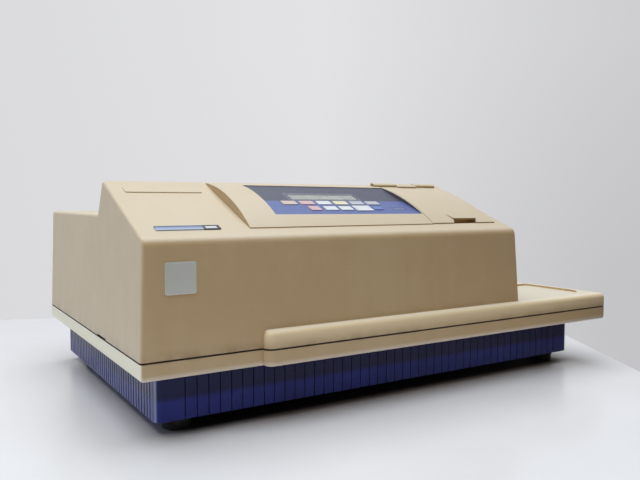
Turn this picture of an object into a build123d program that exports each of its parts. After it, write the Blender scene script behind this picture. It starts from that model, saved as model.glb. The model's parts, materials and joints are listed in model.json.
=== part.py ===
from build123d import *
import math
import os

os.makedirs("parts", exist_ok=True)

# Bench microplate reader: a sloped instrument housing over a ribbed base, with a low deck on the
# right where the plate drawer comes out. Millimetres. X runs to the right along the front, Y from
# the front to the rear, Z up. The origin is on the bench, under the middle of the instrument.

# ------------------------------------------------------------------ overall envelope
overall_width = 580.0
overall_depth = 380.0
foot_height = 12.0
pan_bottom_z = 56.7
seam_z = 72.6
deck_top_z = 88.7
front_top_z = 169.8
rear_deck_z = 188.2
slope_angle = 22.2
slope_length = 134.9
crest_fall_run = 14.8
deck_width = 145.2
wall = 3.0
fit_gap = 0.3

# ------------------------------------------------------------------ draft and edge radii of the shells
front_draft = 1.1
rear_draft = 1.1
left_draft = 1.7
right_draft = 4.6
brow_radius = 8.5
corner_radius = 4.0
outline_radius = 3.0
rear_corner_radius = 10.0
slope_edge_radius = 2.0
deck_edge_radius = 6.0
ledge_proud = 8.7
ledge_left_room = 108.2
ledge_end_radius = 8.0
pan_edge_radius = 3.5

# ------------------------------------------------------------------ seam between cover and pan
reveal_height = 0.9
pry_slot_front_room = 106.3
pry_slot_length = 28.0
pry_slot_height = 1.8
tongue_height = 3.5
tongue_wall = 1.8
pan_wall = 5.3
pan_floor = 3.0

# ------------------------------------------------------------------ ribbed base
skirt_side_room = 21.0
skirt_front_room = 38.7
skirt_rear_room = 3.0
skirt_corner_radius = 7.0
skirt_wall = 4.0
front_groove_pitch = 11.0
front_groove_width = 2.0
side_groove_pitch = 8.0
side_groove_width = 3.2
groove_depth = 1.8
groove_side_angle = 75.0
front_groove_end = 24.0
side_groove_end = 12.0
foot_side_room = 26.0
foot_front_room = 20.0
foot_rear_room = 37.0
foot_top_radius = 14.5
foot_bottom_radius = 12.5
foot_dimple_radius = 5.0
foot_dimple_depth = 2.0

# ------------------------------------------------------------------ raised control panel and cuvette lid
bulge_front_s = 19.0
bulge_rear_s = 129.0
bulge_plinth = 1.0
bezel_left_room = 106.0
bezel_right_room = 113.8
bezel_left_height = 9.0
bezel_right_height = 7.0
door_side_gap = 0.6
door_right_room = 20.8
door_right_height = 4.8
door_front_s = 20.0
door_rear_s = 122.0
door_underside = 0.4
door_wall = 2.5

# ------------------------------------------------------------------ keypad
keypad_drawn_width = 179.4
overlay_left_room = 34.0
overlay_right_room = 1.6
overlay_front_s = 37.5
overlay_rear_s = 116.0
overlay_drop = 0.5
overlay_thickness = 0.8
overlay_margin = 0.15
bezel_floor = 1.4
aperture_margin = 9.0
board_margin = 10.0
window_left_step = 39.5
window_width = 81.5
window_front_s = 78.0
window_rear_s = 92.5
window_thickness = 2.1
key_gap = 0.35
key_proud = 0.5
key_travel = 0.5
key_radius = 0.8
key_stem_shrink = 2.0
key_left_step = 30.5
key_pitch = 20.5
key_row_s = 68.1
key_size = (16.6, 9.4)
upper_key_count = 6
low_key_s = 53.6
low_keys = [
    (52.5, 12.4, 11.0),
    (71.5, 15.0, 10.2),
    (90.0, 15.0, 10.2),
    (111.5, 21.0, 13.6),
    (130.5, 11.5, 7.8),
]
board_thickness = 1.6
board_depth = 6.0
board_boss_radius = 3.0
display_size = (96.0, 24.0)

# ------------------------------------------------------------------ hinge of the cuvette lid
hinge_s = 127.0
hinge_height = 2.4
hinge_bar_length = 32.0
hinge_bar_width = 8.0
hinge_bar_height = 4.6
hinge_bar_steps = (-6.8, 54.8)
hinge_bar_radius = 2.2
pin_radius = 1.25
pin_reach = 5.0
pin_press = 0.02
pin_running = 0.05
knuckle_radius = 2.0

# ------------------------------------------------------------------ finger recess and cuvette port
finger_left_room = 30.4
finger_width = 33.0
finger_skew = 6.0
finger_notch = 8.5
finger_reach = 7.0
finger_depth = 7.0
finger_wall = 2.0
flare_length = 18.0
flare_width = 11.5
flare_depth = 2.3
port_left_room = 46.4
port_s = 72.0
port_size = 30.0
well_outer = 24.0
well_slot = 12.8
well_depth = 42.0
well_floor = 4.0
well_flange = 44.0
well_flange_thickness = 1.5
beam_hole_radius = 3.0
beam_hole_rise = 15.0
gasket_width = 3.0
gasket_thickness = 1.0

# ------------------------------------------------------------------ raised strip and plates on the housing
strip_left_room = 18.0
strip_right_room = 13.5
strip_front_s = 103.6
strip_rear_s = 117.0
strip_height = 0.8
strip_radius = 1.0
badge_left_room = 20.0
badge_right_room = 28.0
badge_front_s = 18.0
badge_rear_s = 26.0
badge_thickness = 0.8
plate_mark_left_room = 21.0
plate_mark_bottom_z = 125.5
plate_mark_size = 26.6
plate_mark_thickness = 0.8

# ------------------------------------------------------------------ deck recess and drawer
recess_end_room = 2.4
recess_front_room = 19.5
recess_width = 95.0
recess_depth = 2.4
recess_far_radius = 26.0
recess_radius = 4.0
drawer_front_room = 68.5
drawer_half_width = 47.0
arm_width = 5.0
arm_height = 4.0
arm_rear_room = 34.0
drawer_bar = 4.0
drawer_front_set_back = 1.2
drawer_front_thickness = 5.0
drawer_front_half_width = 46.0
drawer_front_height = 27.0
drawer_front_radius = 2.0
slot_gap = 1.0
drawer_lift = 0.9
drawer_travel = 132.0
stage_scan = 100.0

# ------------------------------------------------------------------ plate stage (holds one standard microplate)
microplate_length = 127.76
microplate_width = 85.48
nest_play = 0.6
nest_rim = 2.6
nest_rim_height = 5.0
nest_ledge = 5.0
nest_floor = 2.5
runner_width = 2.0
runner_height = 3.4

# ------------------------------------------------------------------ chassis and rails
chassis_lift = 3.0
chassis_thickness = 2.5
chassis_margin = 7.0
standoff_front_room = 90.0
standoff_rear_room = 40.0
rail_head = 6.0
rail_web = 3.0
rail_foot = 11.0
rail_flange = 2.5
rail_front_room = 10.8

# ------------------------------------------------------------------ belt drive of the drawer
pulley_radius = 22.0
pulley_step = 73.5
drive_pulley_room = 252.8
idler_pulley_room = 44.8
belt_thickness = 1.5
belt_width = 6.0
belt_bottom_z = 97.0
pulley_flange = 1.2
pulley_flange_radius = 25.0
pulley_bore = 2.5
shaft_running = 0.05
motor_side = 42.0
motor_corner = 4.0
idler_post_radius = 6.0
clamp_step = 35.0
clamp_length = 14.0
clamp_reach = 3.2

# ------------------------------------------------------------------ optics
read_room = 123.3
channel_count = 8
channel_pitch = 9.0
bridge_width = 19.0
bridge_beam_height = 18.0
bridge_clear_z = 122.0
bridge_front_post = 4.0
bridge_rear_post = 6.0
bridge_rear_step = 75.5
lens_radius = 3.0
lens_play = 0.05
lens_overhang = 3.0
fibre_bar = 6.0
fibre_radius = 4.0
fibre_bend = 12.0
photodiode_radius = 3.2
photodiode_height = 3.0
detector_board_z = 80.0
detector_board_size = (28.0, 73.0)
mono_left_room = 28.0
mono_arm_gap = 2.14
mono_front_room = 21.3
mono_depth = 90.0
mono_height = 56.0
mono_wall = 4.0
mono_lid = 3.0
turret_radius = 17.0
turret_base = 5.0
grating_size = (26.0, 6.0, 28.0)
mirror_size = (8.0, 30.0, 34.0)
mirror_hollow = 120.0
beam_height = 30.0
port_radius = 5.0
wheel_radius = 25.0
wheel_thickness = 3.0
wheel_filter_radius = 5.5
wheel_filter_circle = 17.0
wheel_filter_count = 6
wheel_hub_radius = 4.0
wheel_motor_radius = 9.0
wheel_motor_length = 10.0
lamp_size = (44.0, 62.0, 54.0)
lamp_fin_count = 7
lamp_fin_depth = 5.0
lamp_snout = 6.0
lamp_offset = 18.0

# ------------------------------------------------------------------ electronics, fan and rear panel
supply_size = (118.0, 84.0, 44.0)
supply_left_room = 25.0
supply_rear_room = 50.0
supply_slot_count = 9
main_board_left_gap = 50.0
main_board_right_room = 19.8
main_board_front_gap = 47.0
main_board_rear_room = 41.0
main_board_lift = 5.0
processor = (-50.0, 0.0, 36.0, 36.0, 4.0)
memory = (0.0, 20.0, 28.0, 14.0, 3.0)
drivers = [(-40.0 + 24.0 * i, -50.0, 16.0, 10.0, 5.0) for i in range(5)]
board_chips = [processor, memory, *drivers]
standoff_radius = 3.0
fan_side = 80.0
fan_depth = 25.0
fan_right_room = 74.8
fan_z = 135.0
fan_bore = 38.0
fan_hub = 15.0
fan_blades = 7
fan_tip = 36.5
fan_blade_thickness = 1.6
fan_blade_angle = 35.0
fan_blade_length = 14.0
fan_rib_depth = 3.1
fan_rotor_depth = 15.6
fan_seat_wall = 4.0
vent_height = 3.0
vent_pitch = 6.4
vent_width = 62.0
vent_count = 10
panel_left_room = 38.0
panel_width = 144.0
panel_bottom_z = 92.0
panel_top_z = 148.0
panel_rear_room = 6.0
panel_thickness = 2.0
panel_rim = 6.0
inlet_step = 30.0
inlet_z = 120.0
inlet_size = (30.0, 24.0)
inlet_body = (26.0, 19.0, 22.0)
inlet_socket = (22.0, 15.5, 16.0)
inlet_pin = (2.0, 5.0, 11.0)
inlet_pin_spacing = 7.0
inlet_flange = 2.5
rocker_step = 62.0
rocker_size = (13.0, 22.0)
rocker_frame = 2.0
rocker_body_depth = 18.0
rocker_tilt = 7.0
rocker_gap = 0.6
rocker_depth = 9.0
rocker_lobe = 3.0
port_steps = (94.0, 126.0)
port_shell = (17.0, 9.0)
port_flange_size = (22.0, 13.0)
port_body_depth = 12.0
port_proud = 4.0
port_flange_thickness = 1.2

# ------------------------------------------------------------------ cover screws
screw_side_room = 13.5
screw_middle_room = 140.0
screw_front_room = 20.5
screw_rear_room = 12.0
screw_radius = 2.0
screw_head_radius = 4.0
screw_head_height = 2.4
screw_length = 20.0
screw_play = 0.1
boss_radius = 5.0
boss_height = 11.5
boss_clearance = 1.0

# ------------------------------------------------------------------ derived places
sine = math.sin(math.radians(slope_angle))
cosine = math.cos(math.radians(slope_angle))
half_width = overall_width / 2
rear_y = overall_depth / 2
ledge_front_y = -overall_depth / 2
front_y = ledge_front_y + ledge_proud
left_wall_x = -half_width
reveal_z = seam_z - reveal_height
housing_right_x = half_width - deck_width
ledge_left_x = left_wall_x + ledge_left_room
pry_slot_front_y = front_y + pry_slot_front_room
skirt_half_width = half_width - skirt_side_room
skirt_front_y = ledge_front_y + skirt_front_room
skirt_rear_y = rear_y - skirt_rear_room
foot_x = skirt_half_width - foot_side_room
foot_front_y = skirt_front_y + foot_front_room
foot_rear_y = skirt_rear_y - foot_rear_room
screw_x = (left_wall_x + screw_side_room, left_wall_x + screw_middle_room, half_width - screw_side_room)
screw_front_y = ledge_front_y + screw_front_room
screw_rear_y = rear_y - screw_rear_room
standoff_rows = (ledge_front_y + standoff_front_room, rear_y - standoff_rear_room)


def lean(angle, height):
    """How far a wall drafted by angle moves in over a height."""
    return math.tan(math.radians(angle)) * height


front_top_y = front_y + lean(front_draft, front_top_z - seam_z)
crest_y = front_top_y + slope_length * cosine
crest_z = front_top_z + slope_length * sine
fall_y = crest_y + crest_fall_run
chassis_top_z = pan_bottom_z + pan_floor + chassis_lift + chassis_thickness
chassis_bottom_z = chassis_top_z - chassis_thickness
recess_floor_z = deck_top_z - recess_depth
arm_bottom_z = deck_top_z + drawer_lift
arm_top_z = arm_bottom_z + arm_height
drawer_y = ledge_front_y + drawer_front_room
recess_front_y = ledge_front_y + recess_front_room
recess_rear_y = recess_front_y + recess_width
drawer_front_face_x = housing_right_x - drawer_front_set_back
rail_front_x = housing_right_x - rail_front_room
pulley_y = drawer_y + pulley_step
drive_pulley_x = housing_right_x - drive_pulley_room
idler_pulley_x = housing_right_x - idler_pulley_room
clamp_x = drive_pulley_x + clamp_step
read_x = housing_right_x - read_room
bridge_front_y = front_y + pan_wall
bridge_rear_y = drawer_y + bridge_rear_step
stage_bottom_z = arm_top_z + fit_gap
stage_floor_z = stage_bottom_z + nest_floor
front_plate_x = drawer_front_face_x - drawer_front_thickness
stage_length = microplate_length + 2 * (nest_play + nest_rim)
stage_width = microplate_width + 2 * (nest_play + nest_rim)
stage_x = front_plate_x - fit_gap - stage_length / 2
rear_top_y = rear_y - lean(rear_draft, rear_deck_z - seam_z)
bezel_left_x = left_wall_x + bezel_left_room
bezel_right_x = housing_right_x - bezel_right_room
door_left_x = bezel_right_x + door_side_gap
door_right_x = housing_right_x - door_right_room
hinge_bar_left_x = [bezel_right_x + step for step in hinge_bar_steps]
finger_left_x = door_left_x + finger_left_room
port_x = door_left_x + port_left_room
strip_left_x = left_wall_x + strip_left_room
strip_right_x = bezel_left_x - strip_right_room
badge_left_x = left_wall_x + badge_left_room
badge_right_x = bezel_left_x - badge_right_room
plate_mark_left_x = left_wall_x + plate_mark_left_room
overlay_left_x = bezel_left_x + overlay_left_room
overlay_right_x = bezel_right_x - overlay_right_room
overlay_width = overlay_right_x - overlay_left_x
keypad_scale = overlay_width / keypad_drawn_width
overlay_length = overlay_rear_s - overlay_front_s
panel_mid_x = (overlay_left_x + overlay_right_x) / 2
panel_mid_s = (overlay_front_s + overlay_rear_s) / 2
recess_right_x = drawer_front_face_x + drawer_travel + recess_end_room
arm_rear_x = stage_x - stage_length / 2 - stage_scan - arm_rear_room
rail_top_z = arm_bottom_z - fit_gap
mono_left_x = left_wall_x + mono_left_room
mono_right_x = arm_rear_x - mono_arm_gap
mono_front_y = front_y + mono_front_room
mono_rear_y = mono_front_y + mono_depth
mono_top_z = chassis_top_z + mono_height + mono_lid
grating_x = (mono_left_x + mono_right_x) / 2
grating_y = (mono_front_y + mono_rear_y) / 2
lamp_beam_x = grating_x - lamp_offset
wheel_x = lamp_beam_x + wheel_filter_circle
wheel_y = mono_rear_y + wheel_motor_length + fit_gap
lamp_front_y = wheel_y + wheel_thickness + 2 * lamp_snout
supply_left_x = left_wall_x + supply_left_room
supply_front_y = rear_y - supply_rear_room - supply_size[1]
main_board_left_x = supply_left_x + supply_size[0] + main_board_left_gap
main_board_right_x = housing_right_x - main_board_right_room
main_board_front_y = pulley_y + main_board_front_gap
main_board_rear_y = rear_y - main_board_rear_room
fan_x = housing_right_x - fan_right_room
panel_face_y = rear_y - panel_rear_room
panel_left_x = left_wall_x + panel_left_room
panel_right_x = panel_left_x + panel_width
inlet_x = panel_left_x + inlet_step
rocker_x = panel_left_x + rocker_step
port_centres_x = [panel_left_x + step for step in port_steps]
rocker_cut = (rocker_size[0] + 2 * rocker_frame, rocker_size[1] + 2 * rocker_frame)
rocker_pocket = rocker_frame + rocker_depth + rocker_lobe

# Slope frame: local X is X, local Y runs up the slope (s), local Z stands out of the slope (n).
SLOPE = Plane(origin=(0, front_top_y, front_top_z), x_dir=(1, 0, 0), z_dir=(0, -sine, cosine))
front_lean = math.radians(front_draft)
FRONT = Plane(
    origin=(0, front_y, seam_z),
    x_dir=(1, 0, 0),
    z_dir=(0, -math.cos(front_lean), math.sin(front_lean)),
)


def span(x0, x1, y0, y1, z0, z1):
    """A block given by its limits along X, Y and Z."""
    centre = Pos((x0 + x1) / 2, (y0 + y1) / 2, (z0 + z1) / 2)
    return centre * Box(x1 - x0, y1 - y0, z1 - z0)


def post(x, y, z0, z1, radius):
    """An upright round post."""
    return Pos(x, y, (z0 + z1) / 2) * Cylinder(radius, z1 - z0)


def along_y(x, z, y0, y1, radius):
    """A round bar along Y."""
    return Pos(x, (y0 + y1) / 2, z) * Rot(90, 0, 0) * Cylinder(radius, y1 - y0)


def along_x(y, z, x0, x1, radius):
    """A round bar along X."""
    return Pos((x0 + x1) / 2, y, z) * Rot(0, 90, 0) * Cylinder(radius, x1 - x0)


def edges_at(shape, *points):
    """The edge of shape nearest to each point."""
    return [shape.edges().sort_by_distance(Vector(*p))[0] for p in points]


def group(solids):
    """Separate solids kept together in one node."""
    return Compound(children=[s if isinstance(s, Solid) else s.solid() for s in solids])


# ================================================================== shells
def housing_block(inset, floor_z, rounds=False):
    """The tall housing as a solid, its walls drawn in by inset, its foot at floor_z."""
    below = floor_z - seam_z
    side = make_face(
        Polyline(
            (front_y + lean(front_draft, below), floor_z),
            (front_top_y, front_top_z),
            (crest_y, crest_z),
            (fall_y, rear_deck_z),
            (rear_top_y, rear_deck_z),
            (rear_y - lean(rear_draft, below), floor_z),
            close=True,
        )
    )
    top_z = crest_z + wall
    front = make_face(
        Polyline(
            (-half_width + lean(left_draft, below), floor_z),
            (-half_width + lean(left_draft, top_z - seam_z), top_z),
            (housing_right_x - lean(right_draft, top_z - deck_top_z), top_z),
            (housing_right_x + lean(right_draft, deck_top_z - floor_z), floor_z),
            close=True,
        )
    )
    if rounds:
        side = fillet(side.vertices().sort_by_distance((front_top_y, front_top_z))[0], brow_radius)
        for bend in ((crest_y, crest_z), (fall_y, rear_deck_z)):
            side = fillet(side.vertices().sort_by_distance(bend)[0], slope_edge_radius)
    if inset:
        side = offset(side, amount=-inset, kind=Kind.INTERSECTION)
        front = offset(front, amount=-inset, kind=Kind.INTERSECTION)
    along_width = extrude(Plane.YZ * side, amount=overall_width, both=True)
    along_depth = extrude(Plane.XZ * front, amount=overall_depth, both=True)
    return along_width & along_depth


def rounded_housing():
    """The tall housing with its corners, brow and slope edges rounded."""
    block = housing_block(0, seam_z, rounds=True)
    mid_z = (seam_z + front_top_z) / 2
    left_x = -half_width + lean(left_draft, mid_z - seam_z)
    right_x = housing_right_x + lean(right_draft, deck_top_z - mid_z)
    rear_mid_y = rear_y - lean(rear_draft, mid_z - seam_z)
    front_mid_y = front_y + lean(front_draft, mid_z - seam_z)
    rear_corners = edges_at(block, (left_x, rear_mid_y, mid_z), (right_x, rear_mid_y, mid_z))
    block = fillet(rear_corners, rear_corner_radius)
    outline = edges_at(block, (left_x, front_mid_y, mid_z), (right_x, front_mid_y, mid_z))
    return fillet(outline, outline_radius)


def low_shelf(bottom_z, top_z):
    """The low deck on the right with the ledge along the front, as one flat-topped block."""
    deck = span(housing_right_x - corner_radius * 4, half_width, front_y, rear_y, bottom_z, top_z)
    ledge = span(ledge_left_x, half_width, ledge_front_y, front_y + wall, bottom_z, top_z)
    shelf = deck + ledge
    mid_z = (bottom_z + top_z) / 2
    shelf = fillet(edges_at(shelf, (half_width, rear_y, mid_z)), rear_corner_radius)
    shelf = fillet(edges_at(shelf, (ledge_left_x, ledge_front_y, mid_z)), ledge_end_radius)
    return fillet(edges_at(shelf, (half_width, ledge_front_y, mid_z)), corner_radius)


def deck_and_ledge():
    """Upper half of the shelf, its top edges rounded down to the seam."""
    shelf = low_shelf(seam_z, deck_top_z)
    top = shelf.faces().sort_by(Axis.Z)[-1]
    rim = [e for e in top.edges() if e.center().X > housing_right_x or e.center().Y < front_y]
    return fillet(rim, deck_edge_radius)


def drawer_slot():
    """The opening in the housing's right wall for the drawer."""
    reach = drawer_front_half_width + slot_gap
    return span(
        housing_right_x - 4 * wall, housing_right_x + wall,
        drawer_y - reach, drawer_y + reach,
        arm_bottom_z - drawer_lift, arm_bottom_z + drawer_front_height + slot_gap,
    )


def deck_recess():
    """The shallow recess that the drawer runs out over."""
    left_x = housing_right_x - 4 * wall
    recess = span(left_x, recess_right_x, recess_front_y, recess_rear_y, recess_floor_z, deck_top_z + wall)
    mid_z = (recess_floor_z + deck_top_z) / 2
    recess = fillet(edges_at(recess, (recess_right_x, recess_front_y, mid_z)), recess_far_radius)
    return fillet(edges_at(recess, (recess_right_x, recess_rear_y, mid_z)), recess_radius)


def screw_places():
    """Where the six case screws go."""
    return [(x, y) for x in screw_x for y in (screw_front_y, screw_rear_y)]


def screw_web(x, y):
    """The rib that ties a screw boss of the cover to the nearest wall."""
    low_z, high_z = seam_z + tongue_height + fit_gap, seam_z + boss_height
    if abs(x) > half_width / 2:
        wall_x = math.copysign(half_width - wall / 2, x)
        return span(min(x, wall_x), max(x, wall_x), y - wall / 2, y + wall / 2, low_z, high_z)
    wall_y = ledge_front_y + wall if y < 0 else rear_y - wall / 2
    return span(x - wall / 2, x + wall / 2, min(y, wall_y), max(y, wall_y), low_z, high_z)


def make_upper_cover():
    """Moulded top shell: tall housing, rear deck, right deck and the upper half of the ledge."""
    cover = rounded_housing() + deck_and_ledge()
    cover -= housing_block(wall, seam_z - 4 * wall)
    cover -= span(
        ledge_left_x + ledge_end_radius, half_width - wall, ledge_front_y + ledge_proud / 2,
        rear_y - wall, seam_z - wall, recess_floor_z - wall,
    )
    half_seat = fan_side / 2 + fan_seat_wall
    cover += span(
        fan_x - half_seat, fan_x + half_seat, panel_face_y, rear_top_y - wall / 2,
        fan_z - half_seat, fan_z + half_seat,
    )
    cover += span(
        panel_left_x - panel_rim, panel_right_x + panel_rim, panel_face_y, rear_top_y - wall / 2,
        panel_bottom_z - panel_rim, panel_top_z + panel_rim,
    )
    pocket_length = finger_notch + finger_reach
    pocket_width = finger_width + finger_skew
    pocket = Pos(finger_left_x + pocket_width / 2, door_front_s + pocket_length / 2, 0)
    cup = Box(pocket_width + 2 * finger_wall, pocket_length + 2 * finger_wall, finger_depth + finger_wall)
    cover += SLOPE * (pocket * Pos(0, 0, -(finger_depth + finger_wall) / 2) * cup)
    cover -= SLOPE * (pocket * Box(pocket_width, pocket_length, 2 * finger_depth))
    for x, y in screw_places():
        cover += post(x, y, seam_z, seam_z + boss_height, boss_radius) + screw_web(x, y)
    for x, y in screw_places():
        cover -= post(x, y, seam_z - wall, pan_bottom_z + screw_length + wall, screw_radius + screw_play)
    opening = Box(overlay_width - 2 * aperture_margin, overlay_length - 2 * aperture_margin, 4 * wall)
    cover -= SLOPE * (Pos(panel_mid_x, panel_mid_s, 0) * opening)
    cover -= SLOPE * (Pos(port_x, port_s, 0) * Box(port_size, port_size, 4 * wall))
    strip = Box(strip_right_x - strip_left_x, strip_rear_s - strip_front_s, 2 * strip_height)
    strip = fillet(strip.edges().filter_by(Axis.Z), strip_radius)
    cover += SLOPE * (Pos((strip_left_x + strip_right_x) / 2, (strip_front_s + strip_rear_s) / 2, 0) * strip)
    cover -= span(
        left_wall_x - wall, left_wall_x + wall / 2, pry_slot_front_y, pry_slot_front_y + pry_slot_length,
        seam_z - wall, seam_z + pry_slot_height,
    )
    cover -= drawer_slot() + deck_recess()
    cover -= span(panel_left_x, panel_right_x, panel_face_y - wall, rear_y, panel_bottom_z, panel_top_z)
    for i in range(vent_count):
        z = fan_z + (i - (vent_count - 1) / 2) * vent_pitch
        cover -= Pos(fan_x, rear_y - wall, z) * Box(vent_width, 6 * wall, vent_height)
    return cover


def rounded_tray(inset_x, y0, y1, z0, z1, radius):
    """A block from -inset_x to inset_x with its four upright corners rounded."""
    block = span(-inset_x, inset_x, y0, y1, z0, z1)
    return fillet(block.edges().filter_by(Axis.Z), radius)


def make_lower_pan():
    """Shallow lower shell: floor, walls, inner tongue behind the seam and the ledge's lower half."""
    mid_z = (pan_bottom_z + reveal_z) / 2
    pan = span(-half_width, half_width, front_y, rear_y, pan_bottom_z, reveal_z)
    pan = fillet(edges_at(pan, (-half_width, rear_y, mid_z), (half_width, rear_y, mid_z)), rear_corner_radius)
    pan = fillet(edges_at(pan, (-half_width, front_y, mid_z)), outline_radius)
    ledge = span(ledge_left_x, half_width, ledge_front_y, front_y + wall, pan_bottom_z, reveal_z)
    pan += fillet(edges_at(ledge, (ledge_left_x, ledge_front_y, mid_z)), ledge_end_radius)
    pan = fillet(edges_at(pan, (half_width, ledge_front_y, mid_z)), corner_radius)
    pan = fillet(pan.faces().sort_by(Axis.Z)[0].edges(), pan_edge_radius)
    inner_radius = rear_corner_radius - wall
    inner = (half_width - pan_wall, front_y + pan_wall, rear_y - pan_wall)
    floor_z = pan_bottom_z + pan_floor
    tongue = rounded_tray(
        inner[0] + tongue_wall, inner[1] - tongue_wall, inner[2] + tongue_wall,
        floor_z, seam_z + tongue_height, inner_radius,
    )
    pan += tongue
    pan -= rounded_tray(inner[0], inner[1], inner[2], floor_z, seam_z + 2 * tongue_height, inner_radius)
    for x, y in screw_places():
        pan += post(x, y, pan_bottom_z, seam_z, boss_radius)
    for x, y in screw_places():
        pan -= post(x, y, pan_bottom_z - wall, seam_z + wall, screw_radius + screw_play)
        pan -= post(x, y, pan_bottom_z - wall, pan_bottom_z + screw_head_height, screw_head_radius + screw_play)
    for x, y in standoff_places():
        pan += post(x, y, pan_bottom_z, chassis_bottom_z, boss_radius)
    return pan


def standoff_places():
    """Where the chassis plate rests on the pan."""
    columns = (screw_x[0] + 2 * boss_radius + chassis_margin, screw_x[1], 0.0, rail_front_x)
    return [(x, y) for x in columns for y in standoff_rows]


def make_base_skirt():
    """Ribbed base moulding: an open tray with upright grooves along its four sides."""
    outline = Pos(0, (skirt_front_y + skirt_rear_y) / 2) * RectangleRounded(
        2 * skirt_half_width, skirt_rear_y - skirt_front_y, skirt_corner_radius
    )
    across, along = 2 * skirt_half_width, skirt_rear_y - skirt_front_y
    middle_y = (skirt_front_y + skirt_rear_y) / 2
    front_row = (across - 2 * front_groove_end, front_groove_pitch, front_groove_width)
    side_row = (along - 2 * side_groove_end, side_groove_pitch, side_groove_width)
    sides = [
        ((0, skirt_front_y), 180, front_row),
        ((0, skirt_rear_y), 0, front_row),
        ((-skirt_half_width, middle_y), 90, side_row),
        ((skirt_half_width, middle_y), -90, side_row),
    ]
    grooves = []
    for (x, y), turn, (length, pitch, width) in sides:
        groove = Pos(0, -groove_depth / 2) * Trapezoid(width, groove_depth, groove_side_angle)
        count = int(length / pitch)
        steps = [(i - count / 2) * pitch for i in range(count + 1)]
        grooves += [Pos(x, y) * Rot(0, 0, turn) * Pos(step, 0) * groove for step in steps]
    base = extrude(outline - grooves, amount=pan_bottom_z - foot_height)
    inner = RectangleRounded(
        2 * (skirt_half_width - skirt_wall - groove_depth),
        skirt_rear_y - skirt_front_y - 2 * (skirt_wall + groove_depth), skirt_wall,
    )
    inside = extrude(inner, amount=pan_bottom_z)
    base = Pos(0, 0, foot_height) * base
    return base - Pos(0, (skirt_front_y + skirt_rear_y) / 2, foot_height + skirt_wall) * inside


def make_feet():
    """Four tapered rubber feet, each with a dimple underneath."""
    feet = []
    for x in (-foot_x, foot_x):
        for y in (foot_front_y, foot_rear_y):
            foot = Pos(x, y, foot_height / 2) * Cone(foot_bottom_radius, foot_top_radius, foot_height)
            feet.append(foot - post(x, y, -foot_dimple_depth, foot_dimple_depth, foot_dimple_radius))
    return group(feet)


def make_cover_screws():
    """Six pan-head screws that hold the cover down from under the pan."""
    screws = []
    for x, y in screw_places():
        head = post(x, y, pan_bottom_z + 2 * screw_play, pan_bottom_z + screw_head_height, screw_head_radius)
        shank = post(x, y, pan_bottom_z + screw_head_height / 2, pan_bottom_z + screw_length, screw_radius)
        screws.append(head + shank)
    return group(screws)


# ================================================================== raised panel, keypad and lid
def bulge_height(x):
    """Height of the bulge's crown above the slope at x: it falls from left to right."""
    if x <= bezel_right_x:
        share = (x - bezel_left_x) / (bezel_right_x - bezel_left_x)
        return bezel_left_height + share * (bezel_right_height - bezel_left_height)
    share = (x - bezel_right_x) / (door_right_x - bezel_right_x)
    return bezel_right_height + share * (door_right_height - bezel_right_height)


def bulge_rise(x, s):
    """Height of the bulge above the slope at x and s, near enough to place what sits in it."""
    middle = (bulge_front_s + bulge_rear_s) / 2
    reach = (bulge_rear_s - bulge_front_s) / 2
    crown = bulge_height(x) - bulge_plinth
    return bulge_plinth + crown * (1 - ((s - middle) / reach) ** 2)


def bulge_section(x, inset=0.0):
    """Section of the bulge across the slope at x: a low plinth with an arc on top."""
    crown = bulge_height(x) - inset
    low = bulge_plinth - inset
    front, rear = (bulge_front_s + inset, 0), (bulge_rear_s - inset, 0)
    front_top, rear_top = (front[0], low), (rear[0], low)
    arc = ThreePointArc(front_top, ((front[0] + rear[0]) / 2, crown), rear_top)
    if low > 0:
        sides = Polyline(rear_top, rear, front, front_top)
        section = make_face(Wire([arc.edge(), *sides.edges()]))
    else:
        section = make_face(Wire([arc.edge(), Line(rear_top, front_top).edge()]))
    return Plane(origin=(x, 0, 0), x_dir=(0, 1, 0), z_dir=(1, 0, 0)) * section


def bulge_solid(x0, x1, inset=0.0):
    """The bulge between two places along X, in the slope frame."""
    return loft([bulge_section(x0, inset), bulge_section(x1, inset)], ruled=True)


def panel_plane():
    """Plane of the flat keypad in the slope frame, sunk a little under the bulge."""
    front = bulge_rise(panel_mid_x, overlay_front_s)
    rear = bulge_rise(panel_mid_x, overlay_rear_s)
    left = bulge_rise(overlay_left_x, overlay_front_s) + bulge_rise(overlay_left_x, overlay_rear_s)
    right = bulge_rise(overlay_right_x, overlay_front_s) + bulge_rise(overlay_right_x, overlay_rear_s)
    across = (right - left) / 2 / overlay_width
    along = (rear - front) / overlay_length
    return Plane(
        origin=(panel_mid_x, panel_mid_s, (front + rear) / 2 - overlay_drop),
        x_dir=(1, 0, across), z_dir=(-across, -along, 1),
    )


PANEL = panel_plane()

def on_panel(x, s, depth, solid):
    """Put a solid made about its own centre on the keypad, depth below its face."""
    return SLOPE * (PANEL * (Pos(x - panel_mid_x, s - panel_mid_s, -depth) * solid))


def key_layout():
    """Centre and size of each key, upper row first, left to right."""
    width, length = key_size
    upper = [(key_left_step + i * key_pitch, key_row_s, width, length) for i in range(upper_key_count)]
    lower = [(step, low_key_s, width, length) for step, width, length in low_keys]
    return [
        (overlay_left_x + keypad_scale * step, s, keypad_scale * width, length)
        for step, s, width, length in upper + lower
    ]


def display_window_place():
    """Centre and size of the display window."""
    middle_x = overlay_left_x + keypad_scale * (window_left_step + window_width / 2)
    return (
        middle_x, (window_front_s + window_rear_s) / 2,
        keypad_scale * window_width, window_rear_s - window_front_s,
    )


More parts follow.
